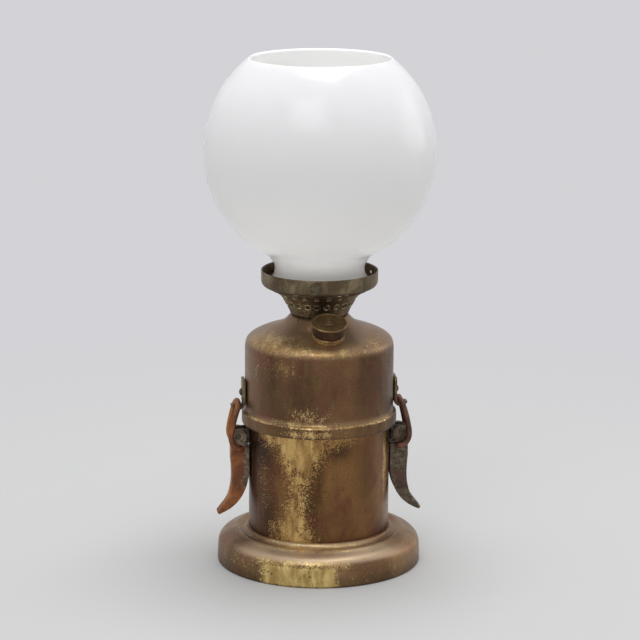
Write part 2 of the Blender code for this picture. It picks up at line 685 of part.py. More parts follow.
def build_gallery():
    floor = D["basket_floor"]
    span = BASKET_TOP_RADIUS - BASKET_FOOT_RADIUS
    path = [(BASKET_FOOT_RADIUS + span * r, floor + BASKET_HEIGHT * z) for r, z in BASKET_SHARES]
    path.append((GAS_TUBE_RADIUS + GAP, floor))
    basket = lathe("gallery_basket", sheet_loop(path, THIN_SHEET), STEPS_BASKET, DARK_BRASS)
    rows = [(UPPER_HOLE_RADIUS, UPPER_HOLE_SHARE, UPPER_HOLE_TILT),
            (LOWER_HOLE_RADIUS, LOWER_HOLE_SHARE, LOWER_HOLE_TILT)]
    for radius, height_share, tilt in rows:
        height = floor + BASKET_HEIGHT * height_share
        wall = interpolate([(z, r) for r, z in path[:-1]], height)
        holes = []
        for hole in range(BASKET_HOLES):
            azimuth = SCREW_FIRST_AZIMUTH + math.tau * hole / BASKET_HOLES
            direction = around(math.cos(tilt), azimuth, math.sin(tilt))
            holes.append((around(wall, azimuth, height), direction, radius, THIN_SHEET * 5))
        cut_rods(basket, holes, HOLE_SIDES)

    bottom = D["ring_bottom"]
    bend = RING_RADIUS - RING_BEND_WIDTH
    path = [(RING_RADIUS, bottom + RING_HEIGHT)]
    path += [(bend + RING_BEND_WIDTH * r, bottom + RING_BEND_HEIGHT * z) for r, z in RING_SHARES]
    path.append((bend - RING_FLOOR_WIDTH, bottom))
    ring = lathe("gallery_ring", sheet_loop(path, SHEET), STEPS_WIDE, DARK_BRASS)
    holes = []
    for screw in range(SCREW_COUNT):
        azimuth = SCREW_FIRST_AZIMUTH + math.tau * screw / SCREW_COUNT
        holes.append((around(RING_RADIUS, azimuth, D["screw_height"]),
                      around(1.0, azimuth, 0.0), SCREW_RADIUS + GAP, SHEET * 5))
    cut_rods(ring, holes, STEPS_TINY)

    tip = GLOBE_LIP_RADIUS + SCREW_LIP_GAP
    head = RING_RADIUS + GAP
    for name, screw in (("front", 0), ("back", 2)):
        azimuth = SCREW_FIRST_AZIMUTH + math.tau * screw / SCREW_COUNT
        frame = bpy.data.objects.new("screw_axis_" + name, None)
        bpy.context.scene.collection.objects.link(frame)
        frame.location = (0.0, 0.0, D["screw_height"])
        frame.rotation_euler = (0, math.radians(90), azimuth)
        edge = SCREW_HEAD_HEIGHT / 4
        outline = [(0.0, head + SCREW_HEAD_HEIGHT),
                   (SCREW_HEAD_RADIUS - edge, head + SCREW_HEAD_HEIGHT),
                   (SCREW_HEAD_RADIUS, head + SCREW_HEAD_HEIGHT - edge),
                   (SCREW_HEAD_RADIUS, head), (SCREW_RADIUS, head),
                   (SCREW_RADIUS, tip + SCREW_RADIUS / 2), (SCREW_RADIUS / 2, tip), (0.0, tip)]
        screw_body = lathe("gallery_screw_" + name, outline, STEPS_TINY, DARK_STEEL)
        screw_body.parent = frame


def build_burner():
    outline = [(0.0, D["nut_top"]), (BURNER_NUT_RADIUS, D["nut_top"]),
               (BURNER_NUT_RADIUS, D["nut_bottom"]), (0.0, D["nut_bottom"])]
    nut = lathe("burner_nut", outline, BURNER_NUT_SIDES, BRASS)
    cut_rods(nut, [((0, 0, D["nut_bottom"]), (0, 0, 1), GAS_TUBE_RADIUS + GAP, BURNER_NUT_HEIGHT * 3)],
             STEPS_SMALL)

    inner = GAS_TUBE_RADIUS - STEM_WALL
    outline = [(GAS_TUBE_RADIUS, D["stem_top"]), (GAS_TUBE_RADIUS, D["stem_bottom"]),
               (inner, D["stem_bottom"]), (inner, D["stem_top"])]
    lathe("burner_stem", outline, STEPS_TINY, BRASS)

    low = D["stem_top"] + GAP
    edge = TIP_RADIUS / 4
    outline = [(0.0, low + TIP_HEIGHT), (TIP_RADIUS - edge, low + TIP_HEIGHT),
               (TIP_RADIUS, low + TIP_HEIGHT - edge), (TIP_RADIUS, low + edge),
               (TIP_RADIUS - edge, low), (0.0, low)]
    tip = lathe("burner_tip", outline, STEPS_TINY, STEATITE)
    root = low + TIP_HEIGHT / 2
    for side in (-1, 1):
        corners = [(0.0, 0.0, root), (side * JET_SPREAD, 0.0, root + JET_RISE),
                   (side * JET_SPREAD / 2, 0.0, root + JET_RISE * JET_TOP_SHARE)]
        jet = wire_mesh("jet", rounded_route(corners, JET_RADIUS), JET_RADIUS)
        combine(tip, add_object("jet", jet, STEATITE), "UNION")


def build_globe():
    """Two half ellipses of one width, cut off at the mouth, over a waisted neck and its lip."""
    low = D["globe_bottom"]
    neck_top = low + GLOBE_NECK_HEIGHT
    neck_share = GLOBE_NECK_RADIUS / GLOBE_RADIUS
    centre = neck_top + GLOBE_LOWER_HEIGHT * math.sqrt(1 - neck_share ** 2)
    start = math.acos(GLOBE_MOUTH_RADIUS / GLOBE_RADIUS)
    end = -math.acos(neck_share)
    pieces = STEPS_GLOBE_ARC
    angles = [start * (1 - piece / pieces) for piece in range(pieces)]
    angles += [end * piece / pieces for piece in range(pieces + 1)]
    path = []
    for angle in angles:
        height = GLOBE_UPPER_HEIGHT if angle > 0 else GLOBE_LOWER_HEIGHT
        path.append((GLOBE_RADIUS * math.cos(angle), centre + height * math.sin(angle)))
    path += [(GLOBE_LIP_RADIUS + NECK_WAIST * r, low + GLOBE_NECK_HEIGHT * z) for r, z in NECK_SHARES]
    lathe("globe", sheet_loop(path, GLASS), STEPS_WIDE, OPAL)


def lever_outline():
    """Side view of the lever, local to its pin: round cheeks over the wide, curved handle."""
    radius = LEVER_HEAD_RADIUS
    head = [(radius * math.cos(angle) - LEVER_HEAD_INSET, radius * math.sin(angle) - LEVER_HEAD_INSET)
            for angle in arc(LEVER_HEAD_END, 0.0)]
    shares = LEVER_OUTER_SHARES + LEVER_TIP_SHARES + LEVER_INNER_SHARES
    inner = -CLASP_STAND_OFF + LEVER_WALL_GAP
    shoulder = [(inner, -LEVER_REACH / 2), (inner, -LEVER_SHOULDER_DROP),
                (-EAR_RADIUS, -LEVER_NOTCH_DROP)]
    return head + [(LEVER_REACH * x, -LEVER_REACH * z) for x, z in shares] + shoulder


def lever_hollow():
    """Side view of the channel in the handle, open towards the lamp."""
    outer = [(LEVER_REACH * x, -LEVER_REACH * z) for x, z in LEVER_OUTER_SHARES]
    moved = [(x, z) for x, z in offset_signed(outer, LEVER_WALL)
             if -LEVER_REACH + LEVER_TIP_SOLID < z < -LEVER_ROOT]
    far = -CLASP_STAND_OFF - OVERRUN
    top = (moved[0][0], -LEVER_ROOT)
    return [(far, top[1]), top] + moved + [(far, moved[-1][1])]


def tapered_prism_mesh(name, outline, half_width, tip_half_width):
    """A prism both ways from y = 0 whose width narrows along the lower half of the reach."""
    bm = bmesh.new()
    bm.from_mesh(prism_mesh(name, outline, -half_width, half_width))
    for vert in bm.verts:
        drop = -vert.co.z / LEVER_REACH
        along = min(max((drop - LEVER_TAPER_SHARE) / (1 - LEVER_TAPER_SHARE), 0.0), 1.0)
        vert.co.y *= 1 - along * (1 - tip_half_width / half_width)
    bmesh.ops.triangulate(bm, faces=bm.faces)
    return mesh_from(bm, name)


def offset_signed(path, distance):
    """Like offset_path, for points on either side of the axis."""
    moved = []
    for index, point in enumerate(path):
        before = Vector(path[max(index - 1, 0)])
        after = Vector(path[min(index + 1, len(path) - 1)])
        along = (after - before).normalized()
        place = Vector(point) + Vector((along.y, -along.x)) * distance
        moved.append((place.x, place.y))
    return moved


def link_route():
    """Centre line of the bail: thin end pin, neck, strand, arch, and the same back down."""
    end = LEVER_HALF_WIDTH - TOGGLE_DEPTH + GAP
    neck = LEVER_HALF_WIDTH + GAP
    side = D["strand_side"]
    length = D["link_length"]
    half = [(0.0, end, 0.0), (0.0, neck, 0.0), (0.0, neck + GAP, 0.0), (0.0, side, 0.0)]
    half += [(length * x, side * y, length * z) for x, y, z in STRAND_SHARES]
    corners = half[2:] + [(x, -y, z) for x, y, z in reversed(half[2:])]
    ends = [Vector(half[0]), Vector(half[1])]
    back = [Vector((x, -y, z)) for x, y, z in reversed(half[:2])]
    return ends + rounded_route(corners, WIRE_BEND) + back


def bracket_outline():
    """Ear seen from the side, local to the pin: a rounded end that widens to the wall."""
    wall = -CLASP_STAND_OFF + GAP
    foot = EAR_RADIUS + EAR_FOOT_SPREAD - GAP
    outline = [(wall, foot)]
    for angle in arc(math.pi / 2, -math.pi / 2):
        outline.append((EAR_RADIUS * math.cos(angle), EAR_RADIUS * math.sin(angle)))
    outline.append((wall, -foot))
    return outline


def catch_outline():
    """Side view of the catch: a plate against the tank that ends in an upturned hook."""
    middle = CATCH_SHEET / 2
    hook = (D["hook_radial"], D["hook_height"])
    bend = HOOK_RADIUS + middle
    path = [(hook[0] - bend, hook[1] + CATCH_HEIGHT)]
    for angle in arc(math.pi, HOOK_END_ANGLE):
        path.append((hook[0] + bend * math.cos(angle), hook[1] + bend * math.sin(angle)))
    return offset_signed(path, -middle) + list(reversed(offset_signed(path, middle)))


def build_clasp(name, turn, lever_look, link_look):
    """One toggle clasp, modelled on +X and turned about the lamp's axis."""
    side = bpy.data.objects.new("clasp_side_" + name, None)
    bpy.context.scene.collection.objects.link(side)
    side.rotation_euler = (0, 0, turn)
    pin_place = (D["pin_radial"], 0, D["pin_height"])
    toggle_local = (-TOGGLE_INWARD, 0, -TOGGLE_DROP)
    length = LEVER_HALF_WIDTH * 3
    far = LEVER_REACH

    mesh = tapered_prism_mesh("lever", lever_outline(), LEVER_HALF_WIDTH, LEVER_TIP_HALF_WIDTH)
    lever = add_object("lever_" + name, mesh, lever_look)
    inner = LEVER_HALF_WIDTH - LEVER_WALL
    inner_tip = LEVER_TIP_HALF_WIDTH - LEVER_WALL
    cut(lever, tapered_prism_mesh("hollow", lever_hollow(), inner, inner_tip))
    top = -EAR_RADIUS - EAR_FOOT_SPREAD - GAP
    above = [(-far, far), (far, far), (far, top), (-far, top)]
    cut(lever, prism_mesh("slot", above, -D["cheek_inner"], D["cheek_inner"]))
    depth = LEVER_HALF_WIDTH - TOGGLE_DEPTH
    cut_rods(lever, [((0, 0, 0), (0, 1, 0), PIN_RADIUS + GAP, length)], STEPS_TINY)
    for way in (-1, 1):
        centre = (toggle_local[0], way * (depth + length / 2), toggle_local[2])
        cut_rods(lever, [(centre, (0, 1, 0), WIRE_END_RADIUS + GAP, length)], STEPS_TINY)
    lever.parent = side
    lever.location = pin_place

    outline = bracket_outline()
    bracket = prism("bracket_" + name, outline, -D["ear_outer"], D["ear_outer"], DARK_BRASS)
    plate = outline[0][0] + EAR_SHEET
    slot = [(plate, far), (far, far), (far, -far), (plate, -far)]
    cut(bracket, prism_mesh("slot", slot, -D["ear_inner"], D["ear_inner"]))
    cut_rods(bracket, [((0, 0, 0), (0, 1, 0), PIN_RADIUS + GAP, length)], STEPS_TINY)
    bracket.parent = side
    bracket.location = pin_place

    reach = D["pin_head"]
    head_end = reach + PIN_HEAD_HEIGHT
    outline = [(0.0, head_end), (PIN_HEAD_RADIUS - PIN_HEAD_HEIGHT / 2, head_end),
               (PIN_HEAD_RADIUS, reach + PIN_HEAD_HEIGHT / 2), (PIN_HEAD_RADIUS, reach),
               (PIN_RADIUS, reach), (PIN_RADIUS, -reach), (PIN_HEAD_RADIUS, -reach),
               (PIN_HEAD_RADIUS, -reach - PIN_HEAD_HEIGHT / 2),
               (PIN_HEAD_RADIUS - PIN_HEAD_HEIGHT / 2, -head_end), (0.0, -head_end)]
    pin = lathe("lever_pin_" + name, outline, STEPS_TINY, DARK_STEEL)
    pin.parent = side
    pin.location = pin_place
    pin.rotation_euler = (math.radians(90), 0, 0)

    mesh = wire_mesh("link", link_route(), WIRE_RADIUS, WIRE_END_RADIUS / WIRE_RADIUS)
    link = add_object("link_" + name, mesh, link_look)
    link.parent = side
    link.location = (D["toggle_radial"], 0, D["toggle_height"])

    catch = prism("catch_plate_" + name, catch_outline(), -CATCH_HALF_WIDTH, CATCH_HALF_WIDTH,
                  DARK_BRASS)
    below = [(0, D["hook_height"]), (D["hook_radial"] * 2, D["hook_height"]),
             (D["hook_radial"] * 2, 0), (0, 0)]
    for low, high in ((-length, -HOOK_HALF_WIDTH), (HOOK_HALF_WIDTH, length)):
        cut(catch, prism_mesh("side", below, low, high))
    rivet_place = (D["catch_face"], 0, D["hook_height"] + RIVET_HEIGHT)
    cut_rods(catch, [(rivet_place, (1, 0, 0), RIVET_RADIUS + GAP, CATCH_SHEET * 4)], STEPS_TINY)
    catch.parent = side

    inside = -(CATCH_SHEET + GAP + SHEET + GAP)
    outline = [(0.0, GAP + RIVET_HEAD_HEIGHT),
               (RIVET_HEAD_RADIUS * RIVET_CROWN_SHARE, GAP + RIVET_HEAD_HEIGHT),
               (RIVET_HEAD_RADIUS, GAP + RIVET_HEAD_HEIGHT / 3), (RIVET_HEAD_RADIUS, GAP),
               (RIVET_RADIUS, GAP), (RIVET_RADIUS, inside - GAP),
               (RIVET_HEAD_RADIUS, inside - GAP), (RIVET_HEAD_RADIUS, inside - GAP - SHEET),
               (0.0, inside - GAP - SHEET)]
    rivet = lathe("catch_rivet_" + name, outline, STEPS_TINY, DARK_STEEL)
    rivet.parent = side
    rivet.location = rivet_place
    rivet.rotation_euler = (0, math.radians(90), 0)


def build():
    clear_scene()
    build_foot()
    build_container()
    build_tank()
    build_gas_path()
    build_filler()
    build_valve()
    build_gallery()
    build_burner()
    build_globe()
    build_clasp("right", 0.0, DARK_STEEL, DARK_STEEL)
    build_clasp("left", math.pi, RUST, RUST)


build()
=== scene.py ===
import json
import math
from types import SimpleNamespace

import bmesh
import bpy
import numpy as np
from mathutils import Matrix, Vector


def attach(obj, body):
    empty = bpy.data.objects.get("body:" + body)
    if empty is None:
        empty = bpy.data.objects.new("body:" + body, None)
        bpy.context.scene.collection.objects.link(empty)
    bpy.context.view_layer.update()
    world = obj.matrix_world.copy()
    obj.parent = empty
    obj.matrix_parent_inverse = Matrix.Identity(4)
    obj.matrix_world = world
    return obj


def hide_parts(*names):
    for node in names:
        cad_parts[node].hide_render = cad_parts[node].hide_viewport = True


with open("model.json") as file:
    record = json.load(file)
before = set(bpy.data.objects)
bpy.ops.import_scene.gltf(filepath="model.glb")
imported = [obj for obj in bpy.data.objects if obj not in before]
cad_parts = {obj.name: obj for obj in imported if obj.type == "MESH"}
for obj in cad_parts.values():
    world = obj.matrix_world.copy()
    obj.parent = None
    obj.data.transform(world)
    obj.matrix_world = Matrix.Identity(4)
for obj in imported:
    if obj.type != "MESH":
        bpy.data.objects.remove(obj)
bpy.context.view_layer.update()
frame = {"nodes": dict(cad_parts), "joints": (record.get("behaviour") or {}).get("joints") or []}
print("frame loaded:", len(frame["nodes"]), "nodes")

mm = 0.001
tiny = 1e-6  # closer than this counts as the same place
asMade = Matrix()  # the place of what stays where it was made
cameraSide = math.radians(-96.5)  # the side of the lamp that faces the camera, which hands have rubbed bright and where the painted highlights and shade are laid
joints = {joint["name"]: joint for joint in frame["joints"]}


class Values(dict):
    # a dictionary of user values whose keys are also read as names
    __getattr__ = dict.__getitem__


# Shapes: every surface is a grid of points worked out with numpy, in millimetres

def lengthsAlong(line):
    return np.concatenate([[0], np.cumsum(np.linalg.norm(np.diff(line, axis=0), axis=1))])


def softRun(points, count):
    # cubic curve through the points, tangents from their neighbours, evenly spaced by length
    p = np.asarray(points, float)
    gap = np.linalg.norm(np.diff(p, axis=0), axis=1) ** 0.5
    t = np.concatenate([[0], np.cumsum(gap)])
    straight = np.repeat((p[1:2] - p[:1]) / gap[0], 2, axis=0)
    slope = np.gradient(p, t, axis=0) if len(p) > 2 else straight
    s = np.linspace(0, 1, 24, endpoint=False)[:, None]
    h = gap[:, None, None]
    curve = ((2 * s**3 - 3 * s**2 + 1) * p[:-1, None] + (s**3 - 2 * s**2 + s) * h * slope[:-1, None]
             + (3 * s**2 - 2 * s**3) * p[1:, None] + (s**3 - s**2) * h * slope[1:, None])
    curve = np.vstack([curve.reshape(-1, p.shape[1]), p[-1:]])
    along = lengthsAlong(curve)
    want = np.linspace(0, along[-1], count)
    return np.column_stack([np.interp(want, along, curve[:, k]) for k in range(p.shape[1])])


def outlineOf(start, *runs):
    # runs of (points, count), each on from the end of the one before it, with sharp corners between them
    line = softRun(*start)
    for points, count in runs:
        line = np.vstack([line, softRun([line[-1], *points], count)[1:]])
    return line


def straightRuns(corners, *counts):
    # a run on to each corner, with a count of points each or one count for all
    return [([corner], counts[k % len(counts)]) for k, corner in enumerate(corners)]


def arc(radius, start, end, count, x=0.0, z=0.0):
    # points of a circle about (x, z) between two angles in degrees
    angle = np.radians(np.linspace(start, end, count))
    return np.column_stack([x + radius * np.cos(angle), z + radius * np.sin(angle)])


def sheetOf(outer, thickness):
    # the outer side of a spun sheet and, back along it, the same line moved inwards by its thickness
    step = np.gradient(outer, axis=0)
    step /= np.linalg.norm(step, axis=1)[:, None]
    inner = outer + np.column_stack([step[:, 1], -step[:, 0]]) * thickness
    inner[:, 0] = np.where(outer[:, 0] < tiny, 0, np.maximum(inner[:, 0], 0))
    return np.vstack([outer, inner[::-1]])


def gridFaces(rows, columns, closeRows=False):
    # quads between neighbouring points of a grid whose columns close, and whose rows may
    index = np.arange(rows * columns).reshape(rows, columns)
    down = np.roll(index, -1, axis=0)
    quads = np.stack([index, np.roll(index, -1, axis=1), np.roll(down, -1, axis=1), down], axis=-1)
    return quads[:None if closeRows else -1].reshape(-1, 4)


def placed(name, data):
    thing = bpy.data.objects.new(name, data)
    bpy.context.scene.collection.objects.link(thing)
    return thing


def smoothed(mesh, sharp):
    # smooth but for edges past the sharp angle in degrees
    mesh.shade_smooth()
    mesh.set_sharp_from_angle(angle=math.radians(sharp))
    return mesh


def startShape(mesh, points, faces, place):
    # an editable shape of a mesh, its place written into its points
    mesh.from_pydata(np.asarray(points, float).reshape(-1, 3) * mm, [], faces)
    mesh.transform(place)
    shape = bmesh.new()
    shape.from_mesh(mesh)
    return shape


def finishShape(shape, mesh, sharp=40):
    shape.to_mesh(mesh)
    shape.free()
    return placed(mesh.name, smoothed(mesh, sharp))


def meshPiece(name, points, faces, place=asMade, sharp=38):
    # merged, closed and outward-facing
    mesh = bpy.data.meshes.new(name)
    shape = startShape(mesh, points, np.asarray(faces).tolist(), place)
    bmesh.ops.remove_doubles(shape, verts=shape.verts, dist=2 * tiny)
    bmesh.ops.dissolve_degenerate(shape, edges=shape.edges, dist=tiny)
    bmesh.ops.recalc_face_normals(shape, faces=shape.faces)
    return finishShape(shape, mesh, sharp)


def turned(name, profile, steps, place=asMade, sharp=38, waves=1.0):
    # a profile of radius and height carried round the axis; waves scale its radius
    profile = np.asarray(profile, float)
    angle = np.linspace(0, 2 * np.pi, steps, endpoint=False)
    radius = profile[:, :1] * waves
    height = np.repeat(profile[:, 1:], steps, axis=1)
    grid = np.stack([radius * np.cos(angle), radius * np.sin(angle), height], axis=-1)
    openEnds = profile[0, 0] > tiny or profile[-1, 0] > tiny
    return meshPiece(name, grid, gridFaces(len(profile), steps, openEnds), place, sharp)


def spun(name, runs, sheet, steps):
    return turned(name, sheetOf(outlineOf(*runs), sheet), steps)


def slab(name, outline, low, high, place, bevel, rimAngle=math.radians(50)):
    # an outline of (x, z) points carried from y = low to y = high, its edges rounded
    outline = np.asarray(outline, float)
    count = len(outline)
    ends = [np.column_stack([outline[:, 0], np.full(count, y), outline[:, 1]]) for y in (low, high)]
    ring = np.arange(count)
    sides = np.column_stack([ring, np.roll(ring, -1), np.roll(ring, -1) + count, ring + count])
    faces = sides.tolist() + [ring.tolist(), (ring[::-1] + count).tolist()]
    mesh = bpy.data.meshes.new(name)
    shape = startShape(mesh, ends, faces, place)
    bmesh.ops.recalc_face_normals(shape, faces=shape.faces)
    rim = [edge for edge in shape.edges if edge.calc_face_angle(0) > rimAngle]
    bmesh.ops.bevel(shape, geom=rim, offset=bevel * mm, segments=3, affect="EDGES", profile=0.6)
    return finishShape(shape, mesh)


def slabPair(name, outline, inner, outer, place, bevel):
    # the same slab on both sides of the middle
    return [slab(name, outline, low, high, place, bevel) for low, high in ((inner, outer), (-outer, -inner))]


def tube(name, path, radius, sides, place=asMade):
    # a circle carried along a path, turned as little as possible from ring to ring, with rounded ends
    path = np.asarray(path, float)
    radius = np.broadcast_to(np.asarray(radius, float), (len(path),))
    tangent = np.gradient(path, axis=0)
    tangent /= np.linalg.norm(tangent, axis=1)[:, None]
    normal = np.cross(tangent[0], (1, 0, 0))
    normals = []
    for direction in tangent:
        normal = normal - direction * (normal @ direction)
        normal /= np.linalg.norm(normal)
        normals.append(normal)
    normals = np.array(normals)
    across = np.cross(tangent, normals)
    angle = np.linspace(0, 2 * np.pi, sides, endpoint=False)[None, :, None]
    ring = np.cos(angle) * normals[:, None] + np.sin(angle) * across[:, None]
    rings = path[:, None] + radius[:, None, None] * ring
    capShare = np.array([1.0, 0.92, 0.7, 0.35, 0.0])[:, None, None]  # width of each ring of an end
    capStep = np.array([0.0, 0.15, 0.28, 0.36, 0.4])[:, None, None] * radius[0]
    head = path[0] + (rings[0] - path[0]) * capShare - tangent[0] * capStep
    tail = path[-1] + (rings[-1] - path[-1]) * capShare + tangent[-1] * capStep
    grid = np.concatenate([head[::-1], rings[1:-1], tail])
    return meshPiece(name, grid, gridFaces(len(grid), sides), place, sharp=60)


def joined(name, parts):
    # several pieces as one object
    shape = bmesh.new()
    for part in parts:
        shape.from_mesh(part.data)
        bpy.data.objects.remove(part)
    return finishShape(shape, bpy.data.meshes.new(name))


def facing(direction):
    # the turn from straight up to a direction
    return Vector((0, 0, 1)).rotation_difference(Vector(direction)).to_matrix().to_4x4()


def drill(piece, rods):
    # round holes cut through a piece; each rod is (centre, direction, radius, length)
    for centre, direction, radius, length in rods:
        place = Matrix.Translation(Vector(centre) * mm) @ facing(direction)
        end = length / 2
        cutter = turned("cutter", [(0, -end), (radius, -end), (radius, end), (0, end)], 28, place)
        cut = piece.modifiers.new("hole", "BOOLEAN")
        cut.object = cutter
        bpy.context.view_layer.update()
        mesh = bpy.data.meshes.new_from_object(piece.evaluated_get(bpy.context.evaluated_depsgraph_get()))
        piece.modifiers.clear()
        piece.data = mesh
        bpy.data.objects.remove(cutter)
    smoothed(piece.data, 38)


# Fields of 0 to 1 on the points of a piece, which its material reads: wear, which also paints highlights;
# tone, which also paints shade and dark reflections; and a field of painted highlights and reflections

def pointsOf(piece):
    co = np.empty(len(piece.data.vertices) * 3, np.float32)
    piece.data.vertices.foreach_get("co", co)
    return co.reshape(-1, 3) / mm


def softStep(value, zero, full):
    # from 0 at one place to 1 at the other, whichever is higher
    t = np.clip((value - zero) / (full - zero), 0, 1)
    return t * t * (3 - 2 * t)


def frontPlaces(p, side=cameraSide):
    # millimetres to the right of the axis on the given side, millimetres towards it, and height
    right = p[:, 0] * -math.sin(side) + p[:, 1] * math.cos(side)
    near = p[:, 0] * math.cos(side) + p[:, 1] * math.sin(side)
    return right, near, p[:, 2]


def window(p, left, end, low, high, soft, rise=None):
    # 1 in a window of the side that faces the camera, fading over the soft width, and over the rise up and
    # down
    right, near, height = frontPlaces(p)
    rise = soft if rise is None else rise
    inside = softStep(right, left - soft, left + soft * 0.3) * softStep(right, end + soft, end - soft * 0.3)
    level = softStep(height, low - rise, low + rise * 0.3) * softStep(height, high + rise, high - rise * 0.3)
    return inside * level * softStep(near, 0, 12)


def oval(p, middle, wide, level, tall, side=cameraSide):
    # 1 in the middle of an oval of a side, fading to a fifth at its half widths
    right, near, height = frontPlaces(p, side)
    reach = ((right - middle) / wide) ** 2 + ((height - level) / tall) ** 2
    return np.exp(-1.6 * reach) * softStep(near, 0, 12)


around = [(-20, 19, 0.19), (42, 15, 0.22), (95, 24, 0.24), (150, 14, 0.17), (212, 17, 0.17)]


def ovalsAround(p, level, tall):
    # weaker ovals round the rest of a piece: azimuth, half width and strength of each, wider ones higher
    return np.max([strength * oval(p, 0, wide, level + wide - 15, tall, math.radians(azimuth))
                   for azimuth, wide, strength in around], axis=0)


def fade(p, right=(), near=(), height=()):
    # soft steps multiplied; each direction has pairs of the place with 0 and the place with 1
    share = 1.0
    for value, ends in zip(frontPlaces(p), (right, near, height)):
        for zero, full in zip(ends[::2], ends[1::2]):
            share = share * softStep(value, zero, full)
    return share


def band(p, *ends):
    return fade(p, height=ends)


def strongest(piece, marks):
    # the strongest mark at each point; a mark is its strength, its function and that function's numbers
    p = pointsOf(piece)
    return np.max([strength * kind(p, *numbers) for strength, kind, *numbers in marks], axis=0)


def paint(piece, name, values):
    attribute = piece.data.attributes.new(name, "FLOAT", "POINT")
    values = np.clip(np.broadcast_to(values, len(piece.data.vertices)), 0, 1)
    attribute.data.foreach_set("value", values.astype(np.float32))


# Finishes: node materials on object coordinates

def colour(red, green, blue):
    # a screen colour of 0 to 255 as the linear colour that a shader takes
    value = np.array([red, green, blue]) / 255
    linear = np.where(value <= 0.04045, value / 12.92, ((value + 0.055) / 1.055) ** 2.4)
    return (*(float(v) for v in linear), 1.0)


def nodeKit(tree):
    # short ways to make and link the nodes of a tree
    def feed(node, inputs):
        for key, value in inputs.items():
            if isinstance(value, bpy.types.NodeSocket):
                tree.links.new(value, node.inputs[key])
            else:
                node.inputs[key].default_value = value
        return node

    def put(kind, inputs=None, **settings):
        node = tree.nodes.new("ShaderNode" + kind)
        for key, value in settings.items():
            setattr(node, key, value)
        return feed(node, inputs or {})

    def noise(vector, scale, detail, rough, warp=0.0):
        inputs = {"Vector": vector, "Scale": scale, "Detail": detail, "Roughness": rough, "Distortion": warp}
        return put("TexNoise", inputs).outputs[0]

    def sums(operation, first, second, third=0.0):
        return put("Math", {0: first, 1: second, 2: third}, operation=operation).outputs[0]

    def ramp(value, low, high, start=0.0, end=1.0):
        inputs = {"Value": value, "From Min": low, "From Max": high, "To Min": start, "To Max": end}
        return put("MapRange", inputs, interpolation_type="SMOOTHSTEP").outputs[0]

    def mix(factor, first, second):
        # of two sockets or screen colours
        first, second = (colour(*each) if isinstance(each, tuple) else each for each in (first, second))
        return put("Mix", {0: factor, 6: first, 7: second}, data_type="RGBA").outputs[2]

    def bump(height, strength, distance):
        return put("Bump", {"Strength": strength, "Distance": distance, "Height": height}).outputs[0]

    def field(name):
        return put("Attribute", attribute_name=name).outputs["Fac"]

    return SimpleNamespace(feed=feed, put=put, noise=noise, sums=sums, ramp=ramp, mix=mix, bump=bump,
                           field=field)


def startFinish(name):
    material = bpy.data.materials.new(name)
    material.use_nodes = True
    kit = nodeKit(material.node_tree)
    return material, material.node_tree.nodes["Principled BSDF"], kit.put("TexCoord").outputs["Object"], kit


brass = Values(
    # screen colours of patina, dirt and worn metal; deep also gives the painted shade and dark reflections,
    # pale the painted highlights and reflections
    dark=(78, 53, 32), light=(132, 95, 57), red=(104, 62, 48), olive=(114, 92, 54),
    deep=(46, 31, 24), pale=(168, 140, 108), wornDark=(154, 118, 68), wornLight=(220, 183, 117),
    # noises: scale, detail, roughness and distortion; clouds and stains have their scale apart
    cloudScale=26, clouds=(4, 0.55, 0.6), stainScale=34, stains=(4, 0.6, 0.9), streaks=(150, 4, 0.6, 0.2),
    grain=(900, 3, 0.7), flecks=(380, 2, 0.4), speckle=(950, 3, 0.8, 0.3), ragged=(110, 5, 0.72, 0.8),
    # layers over the clouds: what shows them, from where to where, how strong and in which colour
    layers=[("stains", 0.36, 0.74, 0.85, "red"), ("streaks", 0.4, 0.75, 0.35, "olive"),
            ("tone", 0, 1, 0.8, "deep"), ("grain", 0.5, 0.72, 0.42, "deep"), ("dust", 0, 1, 0.85, "pale"),
            ("flecks", 0.7, 0.77, 0.7, "deep")],
    stretch=0.35, wearReach=1.35, wearEdge=(-0.03, 0.16), wornShare=0.94, metallic=0.85,
    roughLow=0.27, roughHigh=0.4, grainRough=0.1, polish=0.06,
    speckleHeight=0.35, grainHeight=0.3, dents=4, bump=0.25, bumpDepth=0.0004,
)
brassLooks = {
    "containerBrass": dict(roughLow=0.22, roughHigh=0.34),
    "tankBrass": dict(dark=(84, 62, 41), light=(122, 93, 63), red=(112, 71, 56), olive=(116, 98, 62),
                      wornDark=(162, 130, 82), wornLight=(228, 197, 138)),
    "footBrass": dict(dark=(108, 84, 58), light=(152, 122, 86), red=(138, 101, 76), olive=(138, 118, 80),
                      deep=(66, 47, 31), pale=(200, 176, 146), wornDark=(182, 152, 90),
                      wornLight=(240, 213, 142)),
    "galleryBrass": dict(dark=(90, 80, 60), light=(140, 126, 100), red=(104, 82, 62), olive=(112, 98, 72),
                         wornDark=(146, 130, 94), wornLight=(204, 190, 150), roughLow=0.38, roughHigh=0.55,
                         cloudScale=80, stainScale=120),
    "capBrass": dict(dark=(122, 100, 64), light=(152, 128, 86), red=(122, 92, 62), roughLow=0.36,
                     roughHigh=0.5, cloudScale=120, stainScale=160),
    "skirtBrass": dict(dark=(58, 40, 28), light=(84, 60, 42), red=(70, 44, 34), olive=(66, 50, 34),
                       cloudScale=90, stainScale=120),
    "neckBrass": dict(dark=(96, 72, 44), light=(140, 112, 68), red=(110, 76, 50), cloudScale=120,
                      stainScale=140),
}


